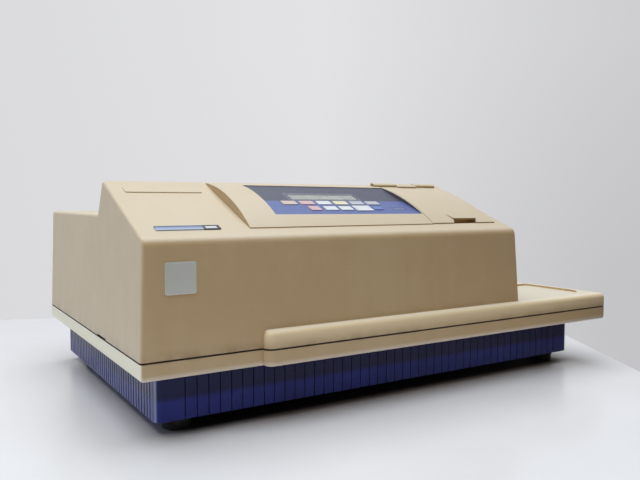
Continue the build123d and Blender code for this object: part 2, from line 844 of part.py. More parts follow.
def make_control_bezel():
    """Raised bezel with an arched top, open underneath, and a flat sunken bed for the keypad."""
    bezel = bulge_solid(bezel_left_x, bezel_right_x)
    floor = overlay_thickness + bezel_floor
    bezel = SLOPE * bezel
    bed = Box(overlay_width, overlay_length, 2 * bezel_left_height)
    bezel -= on_panel(panel_mid_x, panel_mid_s, overlay_thickness - bezel_left_height, bed)
    hollow = Box(overlay_width - 2 * wall, overlay_length - 2 * wall, 2 * bezel_left_height)
    bezel -= on_panel(panel_mid_x, panel_mid_s, floor + bezel_left_height, hollow)
    for x, s, width, length in key_layout():
        stem_hole = Box(width - key_stem_shrink + 2 * key_gap, length - key_stem_shrink + 2 * key_gap, 4 * wall)
        bezel -= on_panel(x, s, 0, stem_hole)
    x, s, width, length = display_window_place()
    bezel -= on_panel(x, s, 0, Box(width + 2 * fit_gap, length + 2 * fit_gap, 4 * wall))
    for x, s in board_boss_places():
        boss = Cylinder(board_boss_radius, board_depth - floor)
        bezel += on_panel(x, s, (board_depth + floor) / 2, boss)
    room = Box(hinge_bar_length + 2 * fit_gap, hinge_bar_width + 2 * fit_gap, 4 * bezel_left_height)
    return bezel - SLOPE * (Pos(hinge_bar_left_x[0] + hinge_bar_length / 2, hinge_s, 0) * room)


def board_boss_places():
    """Four places where the keypad board is carried by the bezel."""
    inset = board_margin + board_boss_radius
    columns = (overlay_left_x + inset, overlay_right_x - inset)
    rows = (overlay_front_s + inset, overlay_rear_s - inset)
    return [(x, s) for x in columns for s in rows]


def make_keypad_overlay():
    """Printed membrane with openings for the keys and the display."""
    sheet = Box(overlay_width - 2 * overlay_margin, overlay_length - 2 * overlay_margin, overlay_thickness)
    overlay = on_panel(panel_mid_x, panel_mid_s, overlay_thickness / 2, sheet)
    for x, s, width, length in key_layout():
        overlay -= on_panel(x, s, 0, Box(width + 2 * key_gap, length + 2 * key_gap, 4 * wall))
    x, s, width, length = display_window_place()
    return overlay - on_panel(x, s, 0, Box(width + 2 * fit_gap, length + 2 * fit_gap, 4 * wall))


def make_display_window():
    """Clear window set in the keypad over the display."""
    x, s, width, length = display_window_place()
    return on_panel(x, s, window_thickness / 2, Box(width, length, window_thickness))


def make_display_module():
    """Two-line display behind its window, standing on the keypad board."""
    x, s, _, _ = display_window_place()
    top = overlay_thickness + bezel_floor
    height = board_depth - top
    width, length = display_size
    return on_panel(x, s, top + height / 2, Box(keypad_scale * width, length, height - 2 * pin_press))


def make_keypad_board():
    """Circuit board behind the keys."""
    sheet = Box(overlay_width - 2 * board_margin, overlay_length - 2 * board_margin, board_thickness)
    return on_panel(panel_mid_x, panel_mid_s, board_depth + board_thickness / 2, sheet)


def make_key(index):
    """One key: a low cap standing out of the overlay on a stem that reaches down to its switch."""
    x, s, width, length = key_layout()[index]
    cap_height = overlay_thickness + key_proud - key_travel - fit_gap
    cap = extrude(RectangleRounded(width, length, key_radius), amount=cap_height)
    stem_height = board_depth - key_travel - fit_gap + key_proud
    stem = Pos(0, 0, key_proud - stem_height / 2) * Box(
        width - key_stem_shrink, length - key_stem_shrink, stem_height
    )
    return on_panel(x, s, 0, Pos(0, 0, key_proud - cap_height) * cap + stem)


# ================================================================== cuvette lid, hinge and well
def hinge_centre(x):
    """A point on the lid's hinge axis, as a place in the slope frame."""
    return Pos(x, hinge_s, hinge_height)


def across_slope(x0, x1, radius):
    """A round bar on the lid's hinge axis from x0 to x1."""
    return SLOPE * (hinge_centre((x0 + x1) / 2) * Rot(0, 90, 0) * Cylinder(radius, x1 - x0))


def make_cuvette_door():
    """Arched lid over the cuvette port, hollow underneath, with a finger notch and a hinge knuckle."""
    door = bulge_solid(door_left_x, door_right_x)
    length = door_rear_s - door_front_s
    bounds = Box(overall_width, length, 4 * bezel_left_height)
    lift = door_underside + 2 * bezel_left_height
    door = door & (Pos(0, (door_front_s + door_rear_s) / 2, lift) * bounds)
    hollow = bulge_solid(door_left_x + door_wall, door_right_x - door_wall, door_wall)
    rim = Box(overall_width, length - 2 * door_wall - 2 * (bulge_front_s + door_wall - door_front_s), 4 * wall)
    door -= hollow & (Pos(0, (bulge_front_s + bulge_rear_s) / 2, 0) * rim)
    door -= finger_notch_block() + finger_flare()
    door = SLOPE * door
    left = hinge_bar_left_x[0] + hinge_bar_length + fit_gap
    right = hinge_bar_left_x[1] - fit_gap
    height = hinge_height + knuckle_radius - door_underside
    arm = Box(right - left, hinge_s - door_rear_s + door_wall, height)
    mid_s = (hinge_s + door_rear_s - door_wall) / 2
    door += SLOPE * (Pos((left + right) / 2, mid_s, door_underside + height / 2) * arm)
    door += across_slope(left, right, knuckle_radius)
    for x0, x1 in ((left - wall, left + pin_reach), (right - pin_reach, right + wall)):
        door -= across_slope(x0, x1, pin_radius + pin_running)
    return door


def finger_notch_block():
    """What the finger notch takes out of the lid's front edge, in the slope frame."""
    front_s, rear_s = door_front_s - finger_notch, door_front_s + finger_notch
    left_x, right_x = finger_left_x - finger_skew, finger_left_x + finger_width - finger_skew
    reach = 2 * finger_skew
    outline = Polyline(
        (left_x, front_s), (right_x, front_s), (right_x + reach, rear_s), (left_x + reach, rear_s), close=True
    )
    return Pos(0, 0, -bezel_left_height) * extrude(make_face(outline), amount=2 * bezel_left_height)


def finger_flare():
    """The wedge taken off the lid beside the finger notch, in the slope frame."""
    front_rise = bulge_rise(finger_left_x, door_front_s)
    rear_rise = bulge_rise(finger_left_x, door_front_s + flare_length)
    facet = Polyline(
        (finger_left_x, door_front_s, front_rise),
        (finger_left_x + flare_width, door_front_s, front_rise - flare_depth),
        (finger_left_x, door_front_s + flare_length, rear_rise),
        close=True,
    )
    return extrude(make_face(facet), amount=bezel_left_height, dir=(0, 0, 1))


def make_hinge_bars():
    """Two rounded bars on the crest that carry the lid's pins."""
    bars = []
    for left in hinge_bar_left_x:
        bar = Box(hinge_bar_length, hinge_bar_width, hinge_bar_height)
        bar = fillet(bar.edges().filter_by(Axis.X).group_by(Axis.Z)[-1], hinge_bar_radius)
        bar = SLOPE * (Pos(left + hinge_bar_length / 2, hinge_s, hinge_bar_height / 2) * bar)
        bore = across_slope(left - wall, left + hinge_bar_length + wall, pin_radius + pin_press)
        bars.append(bar - bore)
    return group(bars)


def make_hinge_pins():
    """Two steel pins, one pressed in each bar and reaching into the lid's ear."""
    left, right = hinge_bar_left_x
    first = across_slope(left + wall, left + hinge_bar_length + pin_reach, pin_radius)
    second = across_slope(right - pin_reach, right + hinge_bar_length - wall, pin_radius)
    return group([first, second])


def make_cuvette_well():
    """Black well under the lid with a square upright slot for one cuvette and a cross beam hole."""
    y = front_top_y + port_s * cosine
    top_z = front_top_z + port_s * sine
    block = span(
        port_x - well_outer / 2, port_x + well_outer / 2, y - well_outer / 2, y + well_outer / 2,
        top_z - well_depth - well_floor, top_z + well_outer,
    )
    above = Box(overall_width, overall_width, overall_width)
    block -= SLOPE * (Pos(0, 0, overall_width / 2 + well_flange_thickness) * above)
    flange = Pos(port_x, port_s, well_flange_thickness / 2) * Box(well_flange, well_flange, well_flange_thickness)
    well = block + SLOPE * flange
    well -= span(
        port_x - well_slot / 2, port_x + well_slot / 2, y - well_slot / 2, y + well_slot / 2,
        top_z - well_depth, top_z + 2 * well_outer,
    )
    beam_z = top_z - well_depth + beam_hole_rise
    return well - along_x(y, beam_z, port_x - well_outer, port_x + well_outer, beam_hole_radius)


def make_port_gasket():
    """Foam ring round the well that keeps light out under the lid."""
    outer = well_flange + 2 * gasket_width
    ring = Box(outer, outer, gasket_thickness) - Box(well_flange, well_flange, wall)
    return SLOPE * (Pos(port_x, port_s, gasket_thickness / 2) * ring)


# ================================================================== bare plates on the housing
def make_badge_strip():
    """Bare name strip near the front of the slope."""
    length = badge_rear_s - badge_front_s
    strip = Box(badge_right_x - badge_left_x, length, badge_thickness)
    middle = Pos((badge_left_x + badge_right_x) / 2, (badge_front_s + badge_rear_s) / 2, badge_thickness / 2)
    return SLOPE * (middle * fillet(strip.edges().filter_by(Axis.Z), badge_thickness))


def make_silver_plate():
    """Bare square metal plate on the front wall."""
    plate = Box(plate_mark_size, plate_mark_size, plate_mark_thickness)
    plate = fillet(plate.edges().filter_by(Axis.Z), 2 * plate_mark_thickness)
    rise = (plate_mark_bottom_z - seam_z + plate_mark_size / 2) / math.cos(front_lean)
    return FRONT * (Pos(plate_mark_left_x + plate_mark_size / 2, rise, plate_mark_thickness / 2) * plate)


# ================================================================== plate drawer
def make_drawer_frame():
    """Open frame: two long arms on the rails, a bar at each end."""
    outer = span(
        arm_rear_x, front_plate_x, drawer_y - drawer_half_width, drawer_y + drawer_half_width,
        arm_bottom_z, arm_top_z,
    )
    inner = drawer_half_width - arm_width
    return outer - span(
        arm_rear_x + drawer_bar, front_plate_x - drawer_bar, drawer_y - inner, drawer_y + inner,
        arm_bottom_z - wall, arm_top_z + wall,
    )


def make_drawer_front():
    """Front plate of the drawer, which fills the slot in the housing's wall when it is shut."""
    plate = span(
        front_plate_x, drawer_front_face_x, drawer_y - drawer_front_half_width,
        drawer_y + drawer_front_half_width, arm_bottom_z, arm_bottom_z + drawer_front_height - drawer_lift,
    )
    return fillet(plate.edges().filter_by(Axis.X), drawer_front_radius)


def make_belt_clamp():
    """Clamp that ties the drawer frame to the near run of the belt."""
    near_run = pulley_y - pulley_radius - fit_gap
    front = drawer_y + drawer_half_width
    clamp = span(
        clamp_x - clamp_length / 2, clamp_x + clamp_length / 2, front, near_run + clamp_reach,
        arm_bottom_z, belt_bottom_z + belt_width + wall,
    )
    slot = span(
        clamp_x - clamp_length, clamp_x + clamp_length,
        near_run - belt_thickness - fit_gap, near_run + fit_gap,
        belt_bottom_z - fit_gap, belt_bottom_z + belt_width + 2 * wall,
    )
    return clamp - slot


def make_plate_stage():
    """Tray that holds one microplate by its rim, with runners that slide between the arms."""
    half_length, half_breadth = stage_length / 2, stage_width / 2
    top_z = stage_floor_z + nest_rim_height
    stage = span(
        stage_x - half_length, stage_x + half_length, drawer_y - half_breadth, drawer_y + half_breadth,
        stage_bottom_z, top_z,
    )
    stage = fillet(stage.edges().filter_by(Axis.Z), nest_rim)
    pocket = (half_length - nest_rim, half_breadth - nest_rim)
    stage -= span(
        stage_x - pocket[0], stage_x + pocket[0], drawer_y - pocket[1], drawer_y + pocket[1],
        stage_floor_z, top_z + wall,
    )
    window = (pocket[0] - nest_ledge, pocket[1] - nest_ledge)
    stage -= span(
        stage_x - window[0], stage_x + window[0], drawer_y - window[1], drawer_y + window[1],
        stage_bottom_z - wall, top_z,
    )
    outside = drawer_half_width - arm_width - fit_gap
    for side in (-1, 1):
        y0, y1 = sorted((drawer_y + side * outside, drawer_y + side * (outside - runner_width)))
        stage += span(
            stage_x - half_length, stage_x + half_length - drawer_bar, y0, y1,
            stage_bottom_z - runner_height, stage_bottom_z + nest_floor,
        )
    return stage


def make_drawer_rails():
    """Two rails on the chassis with a head under each arm of the drawer."""
    rails = []
    for side in (-1, 1):
        y = drawer_y + side * (drawer_half_width - arm_width / 2)
        rail = span(arm_rear_x, rail_front_x, y - rail_web / 2, y + rail_web / 2, chassis_top_z, rail_top_z)
        for width, z0, z1 in (
            (rail_foot, chassis_top_z, chassis_top_z + rail_flange),
            (rail_head, rail_top_z - rail_flange, rail_top_z),
        ):
            rail += span(arm_rear_x, rail_front_x, y - width / 2, y + width / 2, z0, z1)
        rails.append(rail)
    return group(rails)


# ================================================================== belt drive
def make_pulley(x):
    """Belt pulley with a lower flange, on an upright shaft at x."""
    top_z = belt_bottom_z + belt_width
    flange_top = belt_bottom_z - fit_gap
    drum = post(x, pulley_y, flange_top - pulley_flange, top_z, pulley_radius)
    flange = post(x, pulley_y, flange_top - pulley_flange, flange_top, pulley_flange_radius)
    return drum + flange - post(x, pulley_y, belt_bottom_z - 4 * wall, top_z + wall, pulley_bore + shaft_running)


def make_drive_belt():
    """Closed belt round the two pulleys."""
    length = idler_pulley_x - drive_pulley_x
    middle = Pos((idler_pulley_x + drive_pulley_x) / 2, pulley_y, belt_bottom_z)
    inner = 2 * (pulley_radius + fit_gap)
    outer = inner + 2 * belt_thickness
    loop = SlotCenterToCenter(length, outer) - SlotCenterToCenter(length, inner)
    return middle * extrude(loop, amount=belt_width)


def make_drive_motor():
    """Square stepping motor under the drive pulley, with its shaft."""
    top_z = belt_bottom_z - fit_gap - pulley_flange - fit_gap
    half = motor_side / 2
    body = span(
        drive_pulley_x - half, drive_pulley_x + half, pulley_y - half, pulley_y + half,
        chassis_top_z, top_z,
    )
    body = chamfer(body.edges().filter_by(Axis.Z), motor_corner)
    return body + post(drive_pulley_x, pulley_y, top_z, belt_bottom_z + belt_width, pulley_bore)


def make_idler_post():
    """Post that carries the idler pulley."""
    top_z = belt_bottom_z - fit_gap - pulley_flange - fit_gap
    body = post(idler_pulley_x, pulley_y, chassis_top_z, top_z, idler_post_radius)
    return body + post(idler_pulley_x, pulley_y, top_z, belt_bottom_z + belt_width, pulley_bore)


# ================================================================== optics
def channel_places():
    """Where the eight reading channels cross the plate, along Y."""
    return [drawer_y + (i - (channel_count - 1) / 2) * channel_pitch for i in range(channel_count)]


def make_optics_bridge():
    """Portal over the drawer that holds the lenses above the plate."""
    half = bridge_width / 2
    top_z = bridge_clear_z + bridge_beam_height
    bridge = span(read_x - half, read_x + half, bridge_front_y, bridge_rear_y, bridge_clear_z, top_z)
    bridge += span(
        read_x - half, read_x + half, bridge_front_y, bridge_front_y + bridge_front_post,
        chassis_top_z, top_z,
    )
    bridge += span(
        read_x - half, read_x + half, bridge_rear_y - bridge_rear_post, bridge_rear_y,
        chassis_top_z, top_z,
    )
    for y in channel_places():
        bridge -= post(read_x, y, bridge_clear_z - wall, top_z + wall, lens_radius + lens_play)
    return bridge


def make_beam_lenses():
    """Eight lens barrels in the bridge, one for each row of wells."""
    top_z = bridge_clear_z + bridge_beam_height
    return group([post(read_x, y, bridge_clear_z - lens_overhang, top_z, lens_radius) for y in channel_places()])


def make_fibre_bundle():
    """Fibre head on the bridge and the light guide that feeds it from the monochromator."""
    low_z = bridge_clear_z + bridge_beam_height
    ends = channel_places()
    head = span(
        read_x - lens_radius, read_x + lens_radius, ends[0] - lens_radius, ends[-1] + lens_radius,
        low_z, low_z + fibre_bar,
    )
    exit_x = mono_right_x - mono_wall
    top_z = low_z + fibre_bar + 2 * fibre_bend
    route = FilletPolyline(
        (read_x, drawer_y, low_z + fibre_bar / 2),
        (read_x, drawer_y, top_z),
        (exit_x - 2 * fibre_bend, drawer_y, top_z),
        (exit_x - 2 * fibre_bend, drawer_y, mono_top_z),
        radius=fibre_bend,
    )
    guide = sweep(Plane(origin=route @ 0, z_dir=route % 0) * Circle(fibre_radius), path=route)
    return head + guide


def make_monochromator_body():
    """Open-topped casting round the grating, with a light port in its rear wall."""
    top_z = chassis_top_z + mono_height
    body = span(mono_left_x, mono_right_x, mono_front_y, mono_rear_y, chassis_top_z, top_z)
    body -= span(
        mono_left_x + mono_wall, mono_right_x - mono_wall, mono_front_y + mono_wall,
        mono_rear_y - mono_wall, chassis_top_z + mono_wall, top_z + wall,
    )
    beam_z = chassis_top_z + beam_height
    return body - along_y(lamp_beam_x, beam_z, mono_rear_y - 2 * mono_wall, mono_rear_y + wall, port_radius)


def make_monochromator_lid():
    """Flat lid of the monochromator."""
    top_z = chassis_top_z + mono_height
    return span(mono_left_x, mono_right_x, mono_front_y, mono_rear_y, top_z, top_z + mono_lid)


def make_grating_turret():
    """Turntable with the diffraction grating standing on it."""
    low_z = chassis_top_z + mono_wall + fit_gap
    turret = post(grating_x, grating_y, low_z, low_z + turret_base, turret_radius)
    width, depth, height = grating_size
    turret += span(
        grating_x - width / 2, grating_x + width / 2, grating_y, grating_y + depth,
        low_z + turret_base, low_z + turret_base + height,
    )
    return turret


def make_mirrors():
    """Two hollow-ground mirrors at the left end of the monochromator."""
    mirrors = []
    depth, width, height = mirror_size
    low_z = chassis_top_z + mono_wall
    x0 = mono_left_x + mono_wall
    for side in (-1, 1):
        y = grating_y + side * (width / 2 + wall)
        block = span(x0, x0 + depth, y - width / 2, y + width / 2, low_z, low_z + height)
        ball = Pos(x0 + depth - wall + mirror_hollow, y, low_z + height / 2) * Sphere(mirror_hollow)
        mirrors.append(block - ball)
    return group(mirrors)


def make_filter_wheel():
    """Order-sorting filter wheel between the lamp and the monochromator."""
    beam_z = chassis_top_z + beam_height
    wheel = along_y(wheel_x, beam_z, wheel_y, wheel_y + wheel_thickness, wheel_radius)
    wheel += along_y(wheel_x, beam_z, wheel_y, wheel_y + 2 * wheel_thickness, wheel_hub_radius)
    for i in range(wheel_filter_count):
        angle = math.pi + i * 2 * math.pi / wheel_filter_count
        x = wheel_x + wheel_filter_circle * math.cos(angle)
        z = beam_z + wheel_filter_circle * math.sin(angle)
        wheel -= along_y(x, z, wheel_y - wall, wheel_y + 2 * wall, wheel_filter_radius)
    return wheel


def make_filter_motor():
    """Small round motor on the monochromator's wall that turns the filter wheel."""
    beam_z = chassis_top_z + beam_height
    return along_y(wheel_x, beam_z, mono_rear_y, mono_rear_y + wheel_motor_length, wheel_motor_radius)


def make_lamp_housing():
    """Finned flash lamp housing with its snout towards the filter wheel."""
    width, depth, height = lamp_size
    x0 = lamp_beam_x - width / 2
    housing = span(x0, x0 + width, lamp_front_y, lamp_front_y + depth, chassis_top_z, chassis_top_z + height)
    pitch = width / lamp_fin_count
    top_z = chassis_top_z + height
    for i in range(lamp_fin_count):
        x = x0 + (i + 0.5) * pitch
        housing -= span(
            x - pitch / 4, x + pitch / 4, lamp_front_y - wall, lamp_front_y + depth + wall,
            top_z - lamp_fin_depth, top_z + wall,
        )
    beam_z = chassis_top_z + beam_height
    return housing + along_y(lamp_beam_x, beam_z, lamp_front_y - lamp_snout, lamp_front_y, port_radius + wall)


def make_detector_board():
    """Small board under the plate path that carries the photodiodes."""
    width, length = detector_board_size
    board = span(
        read_x - width / 2, read_x + width / 2, drawer_y - length / 2, drawer_y + length / 2,
        detector_board_z, detector_board_z + board_thickness,
    )
    for side in (-1, 1):
        y = drawer_y + side * (length / 2 - standoff_radius)
        board += post(read_x - width / 4, y, chassis_top_z, detector_board_z, standoff_radius)
    return board


def make_photodiodes():
    """Eight photodiodes, one under each lens."""
    low_z = detector_board_z + board_thickness
    return group([post(read_x, y, low_z, low_z + photodiode_height, photodiode_radius) for y in channel_places()])


# ================================================================== chassis, electronics and fan
def make_chassis_plate():
    """Flat plate on the pan's standoffs that carries everything inside."""
    left_x = -half_width + pan_wall + chassis_margin
    front, rear = front_y + pan_wall + fit_gap, rear_y - pan_wall - chassis_margin
    plate = span(left_x, rail_front_x + rail_web, front, rear, chassis_bottom_z, chassis_top_z)
    for x, y in screw_places():
        plate -= post(x, y, chassis_bottom_z - wall, chassis_top_z + wall, boss_radius + boss_clearance)
    return plate


def make_power_supply():
    """Power supply in a slotted metal case."""
    width, depth, height = supply_size
    x0, y0 = supply_left_x, supply_front_y
    case = span(x0, x0 + width, y0, y0 + depth, chassis_top_z, chassis_top_z + height)
    pitch = width / (supply_slot_count + 1)
    for i in range(supply_slot_count):
        x = x0 + (i + 1) * pitch
        case -= span(
            x - wall / 2, x + wall / 2, y0 + 4 * wall, y0 + depth - 4 * wall,
            chassis_top_z + height - wall, chassis_top_z + height + wall,
        )
    return case


def make_main_board():
    """Main circuit board on four standoffs."""
    x0, x1, y0, y1 = main_board_left_x, main_board_right_x, main_board_front_y, main_board_rear_y
    cx, cy = (x0 + x1) / 2, (y0 + y1) / 2
    low_z = chassis_top_z + main_board_lift
    board = span(x0, x1, y0, y1, low_z, low_z + board_thickness)
    for x in (x0 + 2 * standoff_radius, x1 - 2 * standoff_radius):
        for y in (y0 + 2 * standoff_radius, y1 - 2 * standoff_radius):
            board += post(x, y, chassis_top_z, low_z, standoff_radius)
    top_z = low_z + board_thickness
    for dx, dy, chip_width, chip_depth, chip_height in board_chips:
        x, y = cx + dx - chip_width / 2, cy + dy - chip_depth / 2
        board += span(x, x + chip_width, y, y + chip_depth, top_z, top_z + chip_height)
    return board


def make_fan_frame():
    """Square fan housing with three ribs that hold the motor cup."""
    frame = Box(fan_side, fan_depth, fan_side)
    frame = fillet(frame.edges().filter_by(Axis.Y), 2 * wall)
    frame -= Rot(90, 0, 0) * Cylinder(fan_bore, fan_depth + wall)
    rib = Box(2 * fan_bore + wall, fan_rib_depth, wall)
    ribs = Rot(90, 0, 0) * Cylinder(fan_hub, fan_rib_depth)
    for turn in (0, 60, 120):
        ribs += Rot(0, turn, 0) * rib
    frame += Pos(0, (fan_rib_depth - fan_depth) / 2, 0) * ribs
    return Pos(fan_x, panel_face_y - fan_depth / 2, fan_z) * frame


def make_fan_rotor():
    """Fan rotor: hub with angled blades."""
    rotor = Rot(90, 0, 0) * Cylinder(fan_hub, fan_rotor_depth)
    reach = fan_tip - fan_hub + wall
    blade = Pos(0, 0, fan_hub - wall + reach / 2) * Rot(0, 0, fan_blade_angle) * Box(
        fan_blade_thickness, fan_blade_length, reach
    )
    for i in range(fan_blades):
        rotor += Rot(0, i * 360 / fan_blades, 0) * blade
    cup_face_y = panel_face_y - fan_depth + fan_rib_depth
    return Pos(fan_x, cup_face_y + fit_gap + fan_rotor_depth / 2, fan_z) * rotor


# ================================================================== rear panel
def make_rear_panel():
    """Sheet metal panel behind the opening in the rear wall, cut for what it carries."""
    panel = span(
        panel_left_x - panel_rim, panel_right_x + panel_rim, panel_face_y - panel_thickness, panel_face_y,
        panel_bottom_z - panel_rim, panel_top_z + panel_rim,
    )
    cuts = [(inlet_x, inlet_body[0], inlet_body[1]), (rocker_x, *rocker_cut)]
    cuts += [(x, *port_shell) for x in port_centres_x]
    for x, width, height in cuts:
        panel -= Pos(x, panel_face_y, inlet_z) * Box(width + 2 * fit_gap, 4 * wall, height + 2 * fit_gap)
    return panel


def make_power_inlet():
    """Three-pin mains inlet with its flange outside the panel."""
    width, height = inlet_size
    flange = Box(width, inlet_flange, height)
    inlet = Pos(inlet_x, panel_face_y + inlet_flange / 2, inlet_z) * fillet(flange.edges().filter_by(Axis.Y), wall)
    body_width, body_height, depth = inlet_body
    inlet += Pos(inlet_x, panel_face_y - depth / 2, inlet_z) * Box(body_width, depth, body_height)
    width, height, depth = inlet_socket
    front = panel_face_y + inlet_flange
    socket = Box(width, 2 * depth, height)
    inlet -= Pos(inlet_x, front, inlet_z) * chamfer(socket.edges().filter_by(Axis.Y).group_by(Axis.Z)[0], wall)
    pin_width, pin_height, length = inlet_pin
    for step in (-1, 0, 1):
        x = inlet_x + step * inlet_pin_spacing
        z = inlet_z + (1 - abs(step)) * wall - wall / 2
        inlet += Pos(x, front - depth + length / 2, z) * Box(pin_width, length, pin_height)
    return inlet


def make_rocker_frame():
    """Frame and body of the mains switch."""
    width, height = rocker_cut
    flange = Box(width + 2 * rocker_frame, rocker_frame, height + 2 * rocker_frame)
    frame = Pos(rocker_x, panel_face_y + rocker_frame / 2, inlet_z) * flange
    frame += Pos(rocker_x, panel_face_y - rocker_body_depth / 2, inlet_z) * Box(width, rocker_body_depth, height)
    hollow = Box(rocker_size[0] + 2 * rocker_gap, 2 * rocker_pocket, rocker_size[1] + 2 * rocker_gap)
    return frame - Pos(rocker_x, panel_face_y + rocker_frame, inlet_z) * hollow


def make_power_rocker():
    """Rocker of the mains switch, resting with its lower half pressed in."""
    width, height = rocker_size
    half = height / 2
    side = make_face(
        Polyline(
            (-half + rocker_gap, -rocker_depth / 2), (half - rocker_gap, -rocker_depth / 2),
            (half, 0), (half, rocker_lobe), (0, rocker_lobe / 2), (-half, rocker_lobe), (-half, 0),
            close=True,
        )
    )
    body = extrude(Plane(origin=(0, 0, 0), x_dir=(0, 0, -1), z_dir=(1, 0, 0)) * side, amount=width / 2, both=True)
    return Pos(rocker_x, panel_face_y - rocker_lobe / 2, inlet_z) * Rot(-rocker_tilt, 0, 0) * body


def make_data_port(x):
    """Shielded data connector with its flange on the outside of the panel."""
    width, height = port_flange_size
    middle_y = panel_face_y + port_flange_thickness / 2
    port = Pos(x, middle_y, inlet_z) * Box(width, port_flange_thickness, height)
    width, height = port_shell
    depth = port_body_depth + port_proud
    shell = fillet(Box(width, depth, height).edges().filter_by(Axis.Y), wall / 2)
    return port + Pos(x, panel_face_y + port_proud - depth / 2, inlet_z) * shell


# ================================================================== all nodes
NODES = {
    "upper_cover": make_upper_cover,
    "lower_pan": make_lower_pan,
    "base_skirt": make_base_skirt,
    "feet": make_feet,
    "cover_screws": make_cover_screws,
    "control_bezel": make_control_bezel,
    "keypad_overlay": make_keypad_overlay,
    "display_window": make_display_window,
    "display_module": make_display_module,
    "keypad_board": make_keypad_board,
    "cuvette_door": make_cuvette_door,
    "hinge_bars": make_hinge_bars,
    "hinge_pins": make_hinge_pins,
    "cuvette_well": make_cuvette_well,
    "port_gasket": make_port_gasket,
    "badge_strip": make_badge_strip,
    "silver_plate": make_silver_plate,
    "drawer_frame": make_drawer_frame,
    "drawer_front": make_drawer_front,
    "belt_clamp": make_belt_clamp,
    "plate_stage": make_plate_stage,
    "drawer_rails": make_drawer_rails,
    "drive_pulley": lambda: make_pulley(drive_pulley_x),
    "idler_pulley": lambda: make_pulley(idler_pulley_x),
    "drive_belt": make_drive_belt,
    "drive_motor": make_drive_motor,
    "idler_post": make_idler_post,
    "optics_bridge": make_optics_bridge,
    "beam_lenses": make_beam_lenses,
    "fibre_bundle": make_fibre_bundle,
    "monochromator_body": make_monochromator_body,
    "monochromator_lid": make_monochromator_lid,
    "grating_turret": make_grating_turret,
    "mirrors": make_mirrors,
    "filter_wheel": make_filter_wheel,
    "filter_motor": make_filter_motor,
    "lamp_housing": make_lamp_housing,
    "detector_board": make_detector_board,
    "photodiodes": make_photodiodes,
    "chassis_plate": make_chassis_plate,
    "power_supply": make_power_supply,
    "main_board": make_main_board,
    "fan_frame": make_fan_frame,
    "fan_rotor": make_fan_rotor,
    "rear_panel": make_rear_panel,
    "power_inlet": make_power_inlet,
    "switch_frame": make_rocker_frame,
    "power_rocker": make_power_rocker,
    "data_ports": lambda: group([make_data_port(x) for x in port_centres_x]),
}
for number in range(len(key_layout())):
    NODES["key_%d" % (number + 1)] = lambda index=number: make_key(index)

for node, make in NODES.items():
    solid = make()
    solid.label = node
    export_step(solid, "parts/%s.step" % node)
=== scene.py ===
# %% [markdown]
# A bench microplate reader, dressed for a render.
# The solids come from the packed model: every one is in metres, in its real place, so nothing here is fitted
# by eye. This lesson gives each solid a finish, and remakes by hand the small pieces whose charm is in their
# shape: the key caps, the bare plates, the rubber feet, the screws and the connectors.

# %% Load the frame
import json
import math

import bmesh
import bpy
from mathutils import Matrix, Vector


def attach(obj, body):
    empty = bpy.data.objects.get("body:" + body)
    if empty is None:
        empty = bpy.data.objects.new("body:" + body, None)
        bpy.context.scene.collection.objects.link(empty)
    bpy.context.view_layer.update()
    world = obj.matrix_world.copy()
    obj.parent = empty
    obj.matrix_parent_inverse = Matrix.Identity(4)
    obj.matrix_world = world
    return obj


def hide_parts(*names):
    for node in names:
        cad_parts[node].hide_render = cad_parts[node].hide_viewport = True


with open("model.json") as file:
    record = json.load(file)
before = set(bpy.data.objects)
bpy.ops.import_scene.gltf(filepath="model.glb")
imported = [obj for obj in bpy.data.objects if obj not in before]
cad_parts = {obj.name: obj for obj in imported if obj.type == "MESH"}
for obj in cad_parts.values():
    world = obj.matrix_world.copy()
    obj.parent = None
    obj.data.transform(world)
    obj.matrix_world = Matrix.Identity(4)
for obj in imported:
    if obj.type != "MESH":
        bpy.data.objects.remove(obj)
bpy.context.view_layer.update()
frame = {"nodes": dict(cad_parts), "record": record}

# %% [markdown]
# The camera stands a little to the left of the instrument, just above its top, and looks along the front.
# A lens of 37 mm on a 36 mm sensor gives the wide view of someone who stands half a metre away.
# A camera looks along its own -Z, so it is first tipped up by 90 degrees, then turned about the vertical.

# %% Camera
LENS = 37.38
CAMERA_PLACE = (-0.4460, -0.6943, 0.2011)
CAMERA_TURN = math.radians(-32.2)
CAMERA_PITCH = math.radians(-3.2)
CAMERA_ROLL = math.radians(0.1)
CAMERA_SHIFT_Y = -0.0023

lens = bpy.data.cameras.new("camera")
lens.lens = LENS
lens.sensor_width = 36.0
lens.shift_y = CAMERA_SHIFT_Y
lens.clip_start = 0.01
camera = bpy.data.objects.new("camera", lens)
turn = Matrix.Rotation(CAMERA_TURN, 4, "Z")
tip = Matrix.Rotation(math.pi / 2 + CAMERA_PITCH, 4, "X")
camera.matrix_world = Matrix.Translation(CAMERA_PLACE) @ turn @ tip @ Matrix.Rotation(CAMERA_ROLL, 4, "Z")
bpy.context.scene.collection.objects.link(camera)
bpy.context.scene.camera = camera
bpy.context.scene.view_settings.view_transform = "Standard"
print("camera looks along", (turn @ tip).to_3x3() @ Vector((0, 0, -1)))

# %% [markdown]
# A finish is written as arithmetic. One small class holds an output of a node, and the operators on it add
# Math nodes, so `grain * 0.2 + 0.4` is a sum in Python and two nodes in the material. A second class holds
# the node tree of one material and makes any other node.

